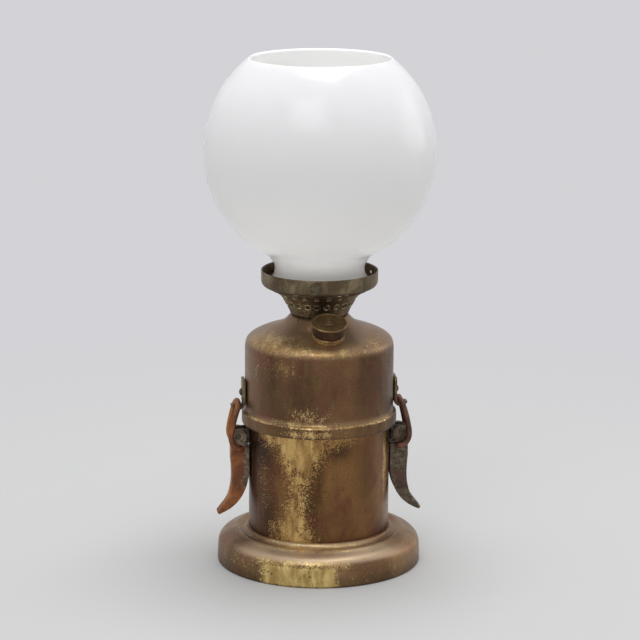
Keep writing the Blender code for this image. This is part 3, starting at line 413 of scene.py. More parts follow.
def brassFinish(name, look):
    # clouds of patina under stains, dirt, painted shade and painted highlights; worn metal, which also paints
    # highlights, where the wear field outruns a fine speckle
    material, shader, place, kit = startFinish(name)
    stretched = kit.put("Mapping", {"Vector": place, "Scale": (1, 1, look.stretch)}).outputs[0]
    clouds = kit.noise(stretched, look.cloudScale, *look.clouds)
    streaks = kit.noise(stretched, *look.streaks)
    stains = kit.noise(place, look.stainScale, *look.stains)
    grain = kit.noise(place, *look.grain)
    sources = {"stains": stains, "streaks": streaks, "grain": grain, "flecks": kit.noise(place, *look.flecks),
               "tone": kit.field("tone"), "dust": kit.field("dust")}
    patina = kit.mix(kit.ramp(clouds, 0.38, 0.62), look.dark, look.light)
    for source, low, high, strength, tint in look.layers:
        patina = kit.mix(kit.ramp(sources[source], low, high, 0.0, strength), patina, look[tint])
    speckle = kit.ramp(kit.noise(place, *look.speckle), 0.3, 0.7)
    ragged = kit.ramp(kit.noise(place, *look.ragged), 0.3, 0.7, 0.5, 1.4)
    reach = kit.sums("MULTIPLY", kit.sums("MULTIPLY", kit.field("wear"), look.wearReach), ragged)
    wornAndHighlit = kit.ramp(kit.sums("SUBTRACT", reach, speckle), *look.wearEdge)
    worn = kit.mix(kit.ramp(streaks, 0.35, 0.65), look.wornDark, look.wornLight)
    worn = kit.mix(kit.ramp(clouds, 0.4, 0.65, 0.0, 0.4), worn, look.wornDark)
    rough = kit.ramp(stains, 0.3, 0.7, look.roughLow, look.roughHigh)
    rough = kit.sums("MULTIPLY_ADD", grain, look.grainRough, rough)
    height = kit.sums("MULTIPLY", grain, look.grainHeight)
    height = kit.sums("MULTIPLY_ADD", speckle, look.speckleHeight, height)
    height = kit.sums("MULTIPLY_ADD", clouds, look.dents, height)
    kit.feed(shader, {"Base Color": kit.mix(kit.sums("MULTIPLY", wornAndHighlit, look.wornShare), patina, worn),
                      "Roughness": kit.sums("MULTIPLY_ADD", wornAndHighlit, -look.polish, rough),
                      "Metallic": look.metallic, "Normal": kit.bump(height, look.bump, look.bumpDepth)})
    return material


iron = Values(
    rustDark=(72, 50, 40), rustLight=(104, 74, 58), rustRed=(98, 58, 50), steelDark=(70, 60, 50),
    steelLight=(118, 104, 86), pit=(44, 34, 28), patchScale=60, patches=(4, 0.6, 0.5),
    spots=(260, 4, 0.65, 0.3), pits=(900, 3, 0.7), tints=(45, 3, 0.55, 0.4),  # noises as above
    rustShare=0, wearBares=0.5, steelRough=0.42, rustRough=0.55, steelMetal=0.75,
    rustMetal=0.3, spotHeight=1.2, bump=0.35, bumpDepth=0.0004,
)
ironLooks = {
    "leftIron": dict(rustDark=(112, 64, 34), rustLight=(172, 106, 50), rustRed=(136, 58, 34),
                     steelDark=(88, 74, 60), steelLight=(140, 124, 104), pit=(66, 40, 26), rustShare=0.12,
                     patchScale=90),
    "rightIron": dict(),
    "linkIron": dict(rustDark=(80, 50, 38), rustLight=(122, 82, 64), rustShare=0.12),
    "bracketIron": dict(steelDark=(58, 54, 46), steelLight=(104, 96, 78), rustShare=-0.06),
    "platesIron": dict(steelDark=(82, 74, 54), steelLight=(138, 122, 86), rustDark=(90, 66, 44),
                       rustLight=(128, 98, 62), rustShare=-0.03),
    "headIron": dict(steelDark=(62, 55, 44), steelLight=(104, 94, 74), rustShare=-0.05, patchScale=160),
}


def ironFinish(name, look):
    # steel under patches of rust, spotted red and pitted; the wear field bares the steel
    material, shader, place, kit = startFinish(name)
    patches = kit.noise(place, look.patchScale, *look.patches)
    spots, pits, tints = (kit.noise(place, *look[key]) for key in ("spots", "pits", "tints"))
    rust = kit.mix(kit.ramp(tints, 0.38, 0.62), look.rustDark, look.rustLight)
    rust = kit.mix(kit.ramp(spots, 0.56, 0.7, 0.0, 0.5), rust, look.rustRed)
    share = kit.sums("MULTIPLY_ADD", kit.field("wear"), -look.wearBares, look.rustShare)
    rusted = kit.ramp(kit.sums("ADD", patches, share), 0.44, 0.56)
    steel = kit.mix(kit.ramp(spots, 0.35, 0.65), look.steelDark, look.steelLight)
    height = kit.sums("MULTIPLY_ADD", spots, look.spotHeight, pits)
    pitted = kit.ramp(pits, 0.52, 0.72, 0.0, 0.5)
    kit.feed(shader, {"Base Color": kit.mix(pitted, kit.mix(rusted, steel, rust), look.pit),
                      "Roughness": kit.ramp(rusted, 0.0, 1.0, look.steelRough, look.rustRough),
                      "Metallic": kit.ramp(rusted, 0.0, 1.0, look.steelMetal, look.rustMetal),
                      "Normal": kit.bump(height, look.bump, look.bumpDepth)})
    return material


plain = Values(grain=(4, 0.6), roughSpan=0.06, bump=0.4, bumpDepth=0.0003)
plainLooks = {
    "washerRubber": dict(dark=(28, 27, 26), light=(52, 50, 48), scale=900, rough=0.75),
    "filterFelt": dict(dark=(120, 108, 88), light=(170, 158, 134), scale=1500, rough=0.92),
    "burnerSteatite": dict(dark=(196, 186, 166), light=(226, 218, 200), scale=500, rough=0.6),
}


def plainFinish(name, look):
    # matt stuff with a fine uneven grain
    material, shader, place, kit = startFinish(name)
    grain = kit.noise(place, look.scale, *look.grain)
    rough = kit.ramp(grain, 0.2, 0.8, look.rough - look.roughSpan, look.rough + look.roughSpan)
    kit.feed(shader, {"Base Color": kit.mix(kit.ramp(grain, 0.3, 0.7), look.dark, look.light),
                      "Roughness": rough, "Normal": kit.bump(grain, look.bump, look.bumpDepth)})
    return material


opal = Values(
    # milk is the glass's own colour; cream is painted shade for the lower body and the neck; inside is
    # painted light on the inner wall
    milk=(245, 245, 247), cream=(240, 235, 228), inside=(253, 252, 250), waves=(9, 2, 0.5),
    dust=(60, 4, 0.6), gloss=0.16, dustRough=0.05, index=1.45, bump=0.05, bumpDepth=0.002,
    depth=0.9, tint=(1, 1, 0.95), reach=0.012,  # how light goes in: share, colours, metres
)


def opalFinish(name, look):
    # glass that light enters: milky, creamier where the tone field paints shade, whiter where painted light
    # falls inside; faint waves and dust
    material, shader, place, kit = startFinish(name)
    waves, dust = kit.noise(place, *look.waves), kit.noise(place, *look.dust)
    body = kit.mix(kit.field("tone"), look.milk, look.cream)
    kit.feed(shader, {"Base Color": kit.mix(kit.field("inside"), body, look.inside),
                      "Roughness": kit.ramp(dust, 0.3, 0.8, look.gloss, look.gloss + look.dustRough),
                      "IOR": look.index, "Subsurface Weight": look.depth, "Subsurface Radius": look.tint,
                      "Subsurface Scale": look.reach, "Normal": kit.bump(waves, look.bump, look.bumpDepth)})
    return material


finishes = {"opalGlass": opalFinish("opalGlass", opal)}
for make, base, looks in ((brassFinish, brass, brassLooks), (ironFinish, iron, ironLooks),
                          (plainFinish, plain, plainLooks)):
    for name, look in looks.items():
        finishes[name] = make(name, Values(base, **look))
print("finishes made:", len(finishes))


def dress(piece, finish, body, slotName, *nodes, **fields):
    # fields and material of a piece, then its body and the CAD nodes that it replaces, which are hidden; the
    # slot name is not used
    for name, values in fields.items():
        paint(piece, name, values)
    piece.data.materials.clear()
    piece.data.materials.append(finishes[finish])
    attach(piece, body)
    if nodes:
        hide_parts(*nodes)


# Foot and container

foot = Values(
    # the runs of an outline: points of radius and height, and how many points the mesh gets
    collar=([(52.2, 26.4), (52.2, 25.4), (53.4, 24.1), (55.6, 23.3), (57.6, 23.9), (60, 24.3), (64, 22.6),
             (68.5, 20.6), (70.7, 19), (72.4, 16.8), (73.3, 14), (73.6, 8), (73.8, 1.4)], 110),
    hem=([(73.5, 0.5), (72.8, 0.02)], 10),
    under=([(66, 0.02)], 8),
    sheet=1, steps=220,
    # worn patches on the wall and the top; along the ridge, 22.6 to 25.2 mm up, worn metal that also paints
    # the ridge's highlight
    wear=[(0.95, window, -36, 10, 1.5, 13.5, 9, 3), (0.42, window, -40, 18, 14.5, 18, 14, 3),
          (0.4, window, -30, 24, 23.2, 25.2, 22, 1.2), (0.1, window, -66, 60, 2, 13, 8, 4),
          (0.16, band, 22.6, 24), (1, ovalsAround, 10, 12)],
    # the shade is painted shade, darker down the wall towards the floor and less where worn
    leastWear=0.03, shade=[(0.6, band, 14, 2)], shadeRubbed=0.8,
    # a painted contact shadow along the hem, then a painted highlight on the front of the foot's top between
    # the shoulder and the ridge
    hemLine=[(1, band, 1.9, 0.5)], dust=[(0.95, fade, (), (25, 60), (15, 19.5))],
)


def makeFoot(size):
    piece = spun("footRing", (size.collar, size.hem, size.under), size.sheet, size.steps)
    wear = strongest(piece, size.wear)
    shade = strongest(piece, size.shade) * (1 - size.shadeRubbed * wear)
    dress(piece, "footBrass", "lamp", "worn_brass", "foot_ring", wear=np.maximum(wear, size.leastWear),
          tone=np.maximum(shade, strongest(piece, size.hemLine)), dust=strongest(piece, size.dust))


container = Values(
    flange=([(54.4, 105.6), (52, 105.6)], 5),
    flare=([(51.1, 105.2), (50.9, 104.2)], 8),
    wall=([(50.9, 5)], 180),
    base=([(50.3, 3.6), (49, 3)], 8),
    floor=([(0, 3)], 30),
    sheet=1, steps=260,
    # the rubbed streak narrows from the top to the waist and widens again towards the foot: by height
    streakMiddle={27: -19, 42: -18, 60: -14, 82: -13, 92: -13, 104: -12},
    streakHalf={27: 19, 34: 17, 48: 13, 60: 12, 80: 15, 90: 21, 98: 36, 104: 52},
    streakStrength={26: 0.82, 34: 0.9, 44: 0.72, 56: 0.49, 68: 0.55, 84: 0.8, 98: 0.84, 104: 0.82},
    streakFade=1.5, streakNear=(0, 15), leastWear=0.02,
    # the two ovals out at the right edge paint a thin bright line down it, a painted reflection; the rest is
    # wear
    wear=[(0.4, oval, 50, 5, 74, 40), (0.85, oval, 47.3, 1.7, 74, 34), (1, ovalsAround, 62, 34)],
    # patina patches at the upper left and upper right; the tall ovals down the left and right sides are
    # painted dark reflections, and the band at the top is painted shade under the tank's band; darker, too,
    # towards the foot
    tone=[(0.9, fade, (-20, -42), (-34, 16), (56, 90)), (0.5, oval, -36, 8, 40, 30),
          (0.85, oval, 13, 17, 94, 11), (0.45, oval, 36, 9, 66, 40), (0.5, band, 99, 104.5),
          (0.5, band, 31, 25)],
)


def makeContainer(size):
    runs = (size.flange, size.flare, size.wall, size.base, size.floor)
    piece = spun("carbideContainer", runs, size.sheet, size.steps)
    right, near, height = frontPlaces(pointsOf(piece))
    middle, half, strength = (np.interp(height, list(size[key]), list(size[key].values()))
                              for key in ("streakMiddle", "streakHalf", "streakStrength"))
    streak = strength * np.exp(-size.streakFade * ((right - middle) / half) ** 2)
    wear = np.maximum(streak * softStep(near, *size.streakNear), strongest(piece, size.wear))
    dress(piece, "containerBrass", "lamp", "patina_brass", "container",
          wear=np.maximum(wear, size.leastWear), tone=strongest(piece, size.tone))


# Water tank

tank = Values(
    land=([(4.3, 183.3), (20.6, 183.3)], 20),
    dome=([(21.5, 182.6), (24, 179.8), (28, 176.8), (34.8, 174), (42.6, 171.3),
           (47.8, 168.9), (50.4, 167.2), (52.3, 165.2), (53.3, 162.5), (53.7, 159.5)], 110),
    wall=([(53.7, 114.2)], 100),
    shoulder=([(53.9, 113.4), (54.8, 112.8), (55.6, 112.1), (56, 111.2)], 14),
    band=([(56, 105), (55.8, 104.1)], 20),
    sheet=1, steps=260, leastWear=0.025,
    # worn speckles on the shoulder and the front; at the band's top, 107 to 115 mm up, worn metal that also
    # paints the band's highlight
    wear=[(0.74, oval, -26, 34, 168, 6.5), (0.66, oval, 8, 34, 165.5, 3.6), (0.3, oval, 38, 14, 168, 6),
          (0.22, oval, -26, 18, 154, 10), (0.34, oval, -6, 22, 119, 9), (0.42, oval, -14, 30, 114.5, 3),
          (0.9, oval, -4, 26, 112.8, 2.2), (0.62, oval, -6, 24, 107.5, 4), (0.16, oval, 40, 20, 174, 6),
          (0.55, window, -50, 48, 112, 113, 16, 0.8), (0.18, band, 111.6, 112.4, 114, 112.8),
          (0.8, ovalsAround, 150, 26)],
    # the tall ovals down the right and left sides are painted dark reflections; darker towards the land at
    # the top and towards the band's lower edge
    tone=[(0.5, oval, 32, 12, 138, 34), (0.35, oval, -32, 12, 132, 30), (0.6, band, 178, 183),
          (0.4, band, 107, 104)],
    # painted light on the dome above the shoulder, a little less on the crown; then a painted highlight just
    # above the band and a painted reflection down the left edge
    domeDust=[(0.7, band, 159, 166)], crownBare=[(0.3, band, 172, 180)],
    dust=[(0.5, band, 111.5, 113, 118, 114), (0.4, fade, (-32, -52), (-30, 25))],
)


def makeTank(size):
    runs = (size.land, size.dome, size.wall, size.shoulder, size.band)
    piece = spun("waterTank", runs, size.sheet, size.steps)
    domeDust = strongest(piece, size.domeDust) * (1 - strongest(piece, size.crownBare))
    dress(piece, "tankBrass", "lamp", "patina_brass", "tank_shell",
          wear=np.maximum(strongest(piece, size.wear), size.leastWear), tone=strongest(piece, size.tone),
          dust=np.maximum(domeDust, strongest(piece, size.dust)))


makeFoot(foot)
makeContainer(container)
makeTank(tank)
print("foot, container and tank made")


# Gallery: pierced basket, ring and its screws

basket = Values(
    wall=([(19.2, 183.7), (20.5, 184.9), (21.1, 186.6), (21.9, 188.1), (23.4, 191.6), (25.8, 195.6),
           (28.2, 198.4), (30.8, 200.7), (33, 202.3), (35.4, 202.8)], 400),
    sheet=0.6, bore=4.4, boreRings=8, bandStep=0.8, holes=22, firstAzimuth=-100.5,
    rows=[Values(z=193, radius=1.9, reach=3, rim=0.5), Values(z=200.2, radius=1.6, reach=2.6, rim=0.15)],
    across=6, rings=5, rimShare=0.3, leastWear=0.04, rimWear=0.6, rimWide=0.35,
    wear=[(0.2, window, -22, -8, 186, 198, 8)], tone=[(0.9, oval, 2, 13, 195, 14)],
)


def basketGrids(size, wall, along, first, pitch):
    # the wall unrolled to (angle, length along the profile): each hole sits in its own square cell,
    # whose rings run from the hole's circle out to the cell's sides; plain bands and the bottom fill the rest
    slope, climb = np.gradient(wall, along, axis=0).T

    def onWall(angle, length, raised):
        radius = np.interp(length, along, wall[:, 0]) + raised * np.interp(length, along, climb)
        height = np.interp(length, along, wall[:, 1]) - raised * np.interp(length, along, slope)
        return np.stack([radius * np.cos(angle), radius * np.sin(angle), height], axis=-1)

    across = size.across
    side, full = np.linspace(-1, 1, across + 1)[:-1], np.ones(across)
    squareX = np.concatenate([side, full, -side, -full])
    squareY = np.concatenate([-full, side, full, -side])
    theta = np.arctan2(squareY, squareX)
    share = np.linspace(0, 1, size.rings + 1)[:, None]
    edges, grids = [0.0], []
    for row in size.rows:
        middle = np.interp(row.z, wall[:, 1], along)
        edges += [middle - row.reach, middle + row.reach]
        holeAngle = row.radius / np.interp(middle, along, wall[:, 0]) * np.cos(theta)
        length = middle + row.radius * np.sin(theta) * (1 - share) + squareY * row.reach * share
        raised = row.rim * np.exp(-(share / size.rimShare) ** 2)
        for hole in range(size.holes):
            angle = first + hole * pitch + holeAngle * (1 - share) + squareX * pitch / 2 * share
            grids.append(onWall(angle, length, raised))
    edges.append(along[-1])
    columns = size.holes * across
    turn = first - pitch / 2 + np.linspace(0, 2 * np.pi, columns, endpoint=False)
    for low, high in zip(edges[::2], edges[1::2]):
        rows = max(2, int((high - low) / size.bandStep) + 1)
        length = np.repeat(np.linspace(low, high, rows)[:, None], columns, axis=1)
        grids.append(onWall(turn[None], length, 0.0))
    plate = np.linspace(size.bore, wall[0, 0], size.boreRings)[:, None]
    level = np.full((len(plate), columns), wall[0, 1])
    return grids + [np.stack([plate * np.cos(turn), plate * np.sin(turn), level], axis=-1)]


def makeBasket(size):
    wall = softRun(*size.wall)
    along = lengthsAlong(wall)
    first, pitch = math.radians(size.firstAzimuth), 2 * np.pi / size.holes
    points, faces, start = [], [], 0
    for grid in basketGrids(size, wall, along, first, pitch):
        points.append(grid.reshape(-1, 3))
        faces.append(gridFaces(*grid.shape[:2]) + start)
        start += len(points[-1])
    piece = meshPiece("galleryBasket", np.vstack(points), np.vstack(faces), sharp=60)
    thick = piece.modifiers.new("sheet", "SOLIDIFY")
    thick.thickness = size.sheet * mm
    thick.offset = -1
    thick.use_even_offset = False
    # the rims of the holes get worn metal, painted as their highlights
    x, y, z = pointsOf(piece).T
    aside = ((np.arctan2(y, x) - first + pitch / 2) % pitch - pitch / 2) * np.hypot(x, y)
    rim = np.zeros(len(x))
    for row in size.rows:
        steep = np.interp(row.z, wall[:, 1], np.gradient(wall[:, 1], along))
        away = np.hypot(aside, (z - row.z) / steep) - row.radius
        rim = np.maximum(rim, np.exp(-(away / size.rimWide) ** 2))
    dress(piece, "galleryBrass", "lamp", "dark_brass", "gallery_basket", tone=strongest(piece, size.tone),
          wear=size.leastWear + size.rimWear * rim + strongest(piece, size.wear))


ring = Values(
    rim=([(41.5, 216), (42, 215.6), (42, 214.5)], 6),
    wall=([(42, 208.9)], 14),
    bend=([(41.6, 206.6), (40.4, 204.9), (38.2, 203.8), (36.5, 203.7)], 24),
    floor=([(29.2, 203.7)], 10),
    sheet=1, steps=220, holePlace=(42, 210.2), holeRadius=1.5, holeLength=6,
    holeAzimuths=(-100.5, 19.5, 139.5), leastWear=0.03,
    wear=[(0.05, window, -36, -12, 204, 212, 8)], tone=[(0.5, band, 207, 204)],
)


def makeRing(size):
    piece = spun("galleryRing", (size.rim, size.wall, size.bend, size.floor), size.sheet, size.steps)
    reach, level = size.holePlace
    ways = [(math.cos(azimuth), math.sin(azimuth)) for azimuth in np.radians(size.holeAzimuths)]
    drill(piece, [((reach * x, reach * y, level), (x, y, 0), size.holeRadius, size.holeLength)
                  for x, y in ways])
    dress(piece, "galleryBrass", "lamp", "dark_brass", "gallery_ring", tone=strongest(piece, size.tone),
          wear=size.leastWear + strongest(piece, size.wear))


screw = Values(
    # radius and distance from the lamp's axis
    crown=([(0, 44), (2.52, 43.95), (3.8, 43.75), (4.2, 43.2)], 20),
    shank=[(4.2, 42.3), (1.2, 42.3), (1.2, 36.5), (0, 35.9)], shankCounts=(4, 4, 8, 5),
)


def makeScrew(size, name, body, node):
    joint = joints[body + "_turn"]
    place = Matrix.Translation((0, 0, joint["pos_m"][2])) @ facing(joint["axis"])
    profile = outlineOf(size.crown, *straightRuns(size.shank, *size.shankCounts))
    dress(turned(name, profile, steps=40, place=place), "headIron", body, "dark_steel", node)


makeBasket(basket)
makeRing(ring)
makeScrew(screw, "galleryScrewFront", "screw_front", "gallery_screw_front")
makeScrew(screw, "galleryScrewBack", "screw_back", "gallery_screw_back")
print("gallery made")


# Filler: neck, washer and cap on a tilted axis

filler = Values(
    neck=[(9.6, 10), (9.6, 3.6), (11.1, 3.5), (11.5, 3.1), (11.7, 2.3), (11.4, 1.7), (11.7, 1.1),
          (11.7, -3.6), (8, -3.6), (8, 10)],
    washer=[(9.5, 11.1), (9.5, 10.3), (8.1, 10.3), (8.1, 11.1)],
    lidTop=([(0, 12.1), (1.1, 12.1), (1.6, 12.5), (2.2, 12.5), (2.7, 12.1), (6, 12.15), (10.3, 12.2),
             (10.9, 12.25)], 40),
    lidRim=([(11.3, 12.7), (11.9, 12.8), (12.6, 12.7), (13, 12.2), (12.9, 11.6), (12.4, 11.1)], 24),
    lidUnder=([(0, 11.1)], 8),
    skirtTop=([(0, 11.5), (11.7, 11.5)], 6),
    skirtCorner=([(11.7, 10.7)], 2),
    skirt=([(11.5, 10.1), (11.5, 4.4), (11.4, 4)], 16),
    inside=[(10.2, 4), (10.2, 11.5), (0, 11.5)],
    neckWear=0.2, lidWear=0.03, skirtWear=0.02,
)


def makeFiller(size):
    joint = joints["filler_cap_turn"]
    place = Matrix.Translation(joint["pos_m"]) @ facing(joint["axis"])
    profile = outlineOf((size.neck[:2], 6), *straightRuns(size.neck[2:], 6))
    neck = turned("fillerNeck", profile, steps=96, place=place, sharp=30)
    dress(neck, "neckBrass", "lamp", "worn_brass", "filler_neck", wear=size.neckWear)
    washer = turned("capWasher", size.washer, steps=64, place=place)
    dress(washer, "washerRubber", "washer", "rubber", "cap_washer")
    profile = outlineOf(size.lidTop, size.lidRim, size.lidUnder)
    lid = turned("fillerCapLid", profile, steps=120, place=place, sharp=50)
    dress(lid, "capBrass", "filler_cap", "dark_brass", wear=size.lidWear)
    profile = outlineOf(size.skirtTop, size.skirtCorner, size.skirt, *straightRuns(size.inside, 5))
    skirt = turned("fillerCapSkirt", profile, steps=120, place=place, sharp=50)
    dress(skirt, "skirtBrass", "filler_cap", "dark_brass", "filler_cap", wear=size.skirtWear)


makeFiller(filler)


# Water valve at the back of the dome

valve = Values(
    gland=[(5.2, 181.6), (5.2, 171), (2, 171), (2, 181.6)],
    needle=[(0, 185.4), (1.6, 185.4), (1.6, 114.6), (0.5, 111.7), (0, 111.7)],
    knob=([(0, 190), (4.6, 190), (6.6, 189.6), (7.3, 188.9), (7.4, 187.7), (7.3, 186.5), (6.6, 185.9),
           (0, 185.6)], 60),
    knobRadius=7.4, knobSteps=192, flutes=16, fluteDepth=0.35, fluteRadii=(6.2, 7), wear=0.2,
)


def makeValve(size):
    x, y, _ = joints["valve_turn"]["pos_m"]
    place = Matrix.Translation((x, y, 0))
    gland = turned("valveGland", size.gland, steps=48, place=place)
    dress(gland, "galleryBrass", "lamp", "patina_brass", "valve_gland", wear=size.wear)
    needle = turned("valveNeedle", size.needle, steps=32, place=place)
    dress(needle, "neckBrass", "valve_stem", "worn_brass", "valve_needle")
    profile = softRun(*size.knob)
    angle = np.linspace(0, 2 * np.pi, size.knobSteps, endpoint=False)
    depth = size.fluteDepth / size.knobRadius * softStep(profile[:, :1], *size.fluteRadii)
    waves = 1 - depth * (0.5 + 0.5 * np.cos(angle * size.flutes))
    knob = turned("valveKnob", profile, steps=size.knobSteps, place=place, waves=waves)
    dress(knob, "galleryBrass", "valve_knob", "dark_brass", "valve_knob", wear=size.wear)


makeValve(valve)
print("filler and valve made")


# Burner: stem and steatite tip with two arms

burner = Values(
    stem=[(4, 236), (4, 190.1), (1.9, 190.1), (1.9, 236)],
    tip=[(0, 245.3), (3.4, 245.3), (4.6, 244.2), (4.6, 237.4), (3.8, 236.3), (0, 236.3)],
    arm=([(0, 240.8), (3.6, 244.2), (8.6, 249.6), (9.9, 252.6), (9.4, 255), (5.8, 260.6)], 40),
    armRadius=2, wear=0.3,
)


def makeBurner(size):
    stem = turned("burnerStem", size.stem, steps=40)
    dress(stem, "containerBrass", "lamp", "patina_brass", "burner_stem", wear=size.wear)
    x, z = softRun(*size.arm).T
    arms = [tube("tipArm", np.column_stack([x * side, np.zeros(len(x)), z]), size.armRadius, sides=20)
            for side in (-1, 1)]
    body = turned("tipBody", size.tip, steps=48)
    dress(joined("burnerTip", [body] + arms), "burnerSteatite", "lamp", "steatite", "burner_tip")


makeBurner(burner)


# Globe

globe = Values(
    radius=83, upper=84.5, lower=83, mouth=50.5, neckTop=(37.6, 227.2), bend=231.5,
    neck=[(40.9, 229.2), (38, 227.2), (35.6, 224.8), (33.7, 222.3), (32.5, 219.4), (32.2, 216.6),
          (32.5, 214.3), (33.2, 212.5), (34.7, 209.7), (35.25, 207.6), (34.9, 205.8), (34.2, 205.1)],
    bodyCount=150, neckCount=90, glass=1.7, steps=240,
    # fields: where the painted light inside starts below the skin, and how much painted shade the lower body
    # and the neck get
    insideDepth=(0.4, 1.3), lowTone=0.65, lowTop=30, neckTone=0.35, neckEnds=(4, -10),
)


def makeGlobe(size):
    # two half ellipses of one width, cut off level at the mouth, over a waisted neck and its lip
    radius, upper, lower = size.radius, size.upper, size.lower
    neckRadius, neckTop = size.neckTop
    centre = neckTop + lower * math.sqrt(1 - (neckRadius / radius) ** 2)
    angle = np.linspace(math.acos(size.mouth / radius), -math.acos(neckRadius / radius), size.bodyCount)
    height = centre + np.where(angle > 0, upper, lower) * np.sin(angle)
    body = np.column_stack([radius * np.cos(angle), height])
    body = body[body[:, 1] > size.bend]
    outer = np.vstack([body, softRun([tuple(body[-1])] + size.neck, size.neckCount)[1:]])
    piece = turned("opalGlobe", sheetOf(outer, size.glass), size.steps, sharp=30)
    x, y, z = pointsOf(piece).T
    skin = np.interp(-z, -outer[:, 1], outer[:, 0])
    # painted light on the inner wall, and painted shade on the lower body and the neck
    inside = softStep(skin - np.hypot(x, y), *size.insideDepth) * (z > size.bend)
    low = softStep(z, centre + size.lowTop, neckTop + size.lowTop)
    neck = softStep(z, *(neckTop + end for end in size.neckEnds))
    dress(piece, "opalGlass", "globe", "opal_glass", "globe", inside=inside,
          tone=size.lowTone * low + size.neckTone * neck)


makeGlobe(globe)
print("burner and globe made")


# Clasps: lever, bracket, pin, link, catch plate and rivet on each side; outlines are of (x, z) points

sides = {
    "right": {"turn": 0.0, "lever": "rightIron", "link": "linkIron", "slot": "dark_steel"},
    "left": {"turn": math.pi, "lever": "leftIron", "link": "leftIron", "slot": "rusty_steel"},
}


def claspPlaces(side, part="lever"):
    # a side's turn about the lamp's axis, the same moved out to the part's hinge, and the hinge's height
    x, _, z = joints[f"{part}_{side}_hinge"]["pos_m"]
    turn = Matrix.Rotation(sides[side]["turn"], 4, "Z")
    return turn, turn @ Matrix.Translation((abs(x), 0, z)), z / mm


lever = Values(
    outer=[(64.6, 88.9), (64.6, 84), (64.6, 78), (64, 70), (64, 62), (64.8, 55.6), (66.6, 49),
           (69.2, 44.6), (72.2, 40.8), (74.6, 37.6)],
    inner=[(51.3, 87.4), (51.3, 79), (51.3, 68), (52.2, 62.1), (54, 55.5), (56.6, 49.8), (60, 45),
           (64, 41.2), (68.5, 38.3), (73.3, 36)],
    stations=90, half=7.4, tipHalf=4.8, taperStart=0.4, reach=59.3, sheet=1.4,
    edge=1.5, edgeShare=0.45, innerEdge=0.25, sideShares=(0.02, 0.2, 0.4, 0.6),
    hollowStart=(0.14, 0.2), hollowEnd=(0.72, 0.62), tipShare=0.25, tipMove=(0.25, 0, -0.3),
    headRadius=5.8, headInset=0.7, headEnd=232, cheekInner=5.9, cheekBevel=0.3,
    cheekFoot=[(5, -8.5), (-8.3, -8.5), (-8.3, -7.6), (-5, -6.6)],
    # bare steel: strength, then the places of 0 and 1 out from the lamp's axis and down from the pin
    bare={"left": [(0.75, (55.5, 52), (40, 26)), (0.8, (), (8, 5))], "right": [(0.5, (), (40, 56))]},
)


def leverShape(size, pinLevel):
    # sections from the inner to the outer edge of the handle: a rounded channel, its hollow to the lamp
    stations = size.stations
    outer, inner = softRun(size.outer, stations), softRun(size.inner, stations)
    share = np.linspace(0, 1, stations)
    drop = (pinLevel - (outer[:, 1] + inner[:, 1]) / 2) / size.reach
    taper = np.clip((drop - size.taperStart) / (1 - size.taperStart), 0, 1)
    half = size.half + (size.tipHalf - size.half) * taper
    length = np.linalg.norm(outer - inner, axis=1)
    edge = np.minimum(size.edge, length * size.edgeShare)
    depth = (length - size.sheet) * softStep(share, *size.hollowStart) * softStep(share, *size.hollowEnd)
    hollow, flat = half - size.sheet, np.zeros(stations)
    corner = np.linspace(0, np.pi / 2, 7)
    out = [flat] + [length * part for part in size.sideShares]
    out += [length - edge + edge * np.sin(c) for c in corner]
    wide = [half - size.innerEdge] + [half] * len(size.sideShares)
    wide += [half - edge + edge * np.cos(c) for c in corner]
    out = np.array(out + out[::-1] + [flat, depth, depth, flat]).T
    wide = np.array(wide + [-each for each in wide[::-1]] + [-hollow, -hollow, hollow, hollow]).T
    way = (outer - inner) / length[:, None]
    grid = np.stack([inner[:, :1] + way[:, :1] * out, wide, inner[:, 1:] + way[:, 1:] * out], axis=-1)
    middle = grid[-1].mean(axis=0)
    tipEnd = middle + (grid[-1] - middle) * size.tipShare + np.array(size.tipMove)
    ends = [np.broadcast_to(end.mean(axis=0), (1, *end.shape)) for end in (grid[0], tipEnd)]
    return np.concatenate([ends[0], grid, tipEnd[None], ends[1]])


def makeLever(size, side):
    turn, atPin, pinLevel = claspPlaces(side)
    grid = leverShape(size, pinLevel)
    handle = meshPiece("handle", grid, gridFaces(*grid.shape[:2]), turn, sharp=50)
    inset = -size.headInset
    cheek = np.vstack([arc(size.headRadius, size.headEnd, 0, 37, inset, inset), size.cheekFoot])
    cheeks = slabPair("cheek", cheek, size.cheekInner, size.half, atPin, size.cheekBevel)
    piece = joined(f"lever{side.title()}Handle", [handle] + cheeks)
    x, _, z = pointsOf(piece).T
    bare = np.max([strength * softStep(pinLevel - z, *down) * (softStep(np.abs(x), *out) if out else 1)
                   for strength, out, down in size.bare[side]], axis=0)
    dress(piece, sides[side]["lever"], f"lever_{side}", sides[side]["slot"], f"lever_{side}", wear=bare)


bracket = Values(
    earRadius=5, foot=5.5, earInner=4.1, earOuter=5.6, wall=-8.4, plate=1.5, earBevel=0.35, plateBevel=0.3,
)


def makeBracket(size, side):
    _, atPin, _ = claspPlaces(side)
    wall, foot, wide = size.wall, size.foot, size.earOuter
    ear = np.vstack([[(wall, foot)], arc(size.earRadius, 90, -90, 25), [(wall, -foot)]])
    parts = slabPair("ear", ear, size.earInner, wide, atPin, size.earBevel)
    front = wall + size.plate
    plate = [(wall, foot), (front, foot), (front, -foot), (wall, -foot)]
    parts.append(slab("plate", plate, -wide, wide, atPin, size.plateBevel))
    dress(joined(f"bracket{side.title()}", parts), "bracketIron", "lamp", "dark_brass", f"bracket_{side}")


pin = Values(half=[(0, 8.2), (1.05, 8.18), (1.85, 8.05), (2.1, 7.85), (2.1, 7.7), (1.6, 7.7)])


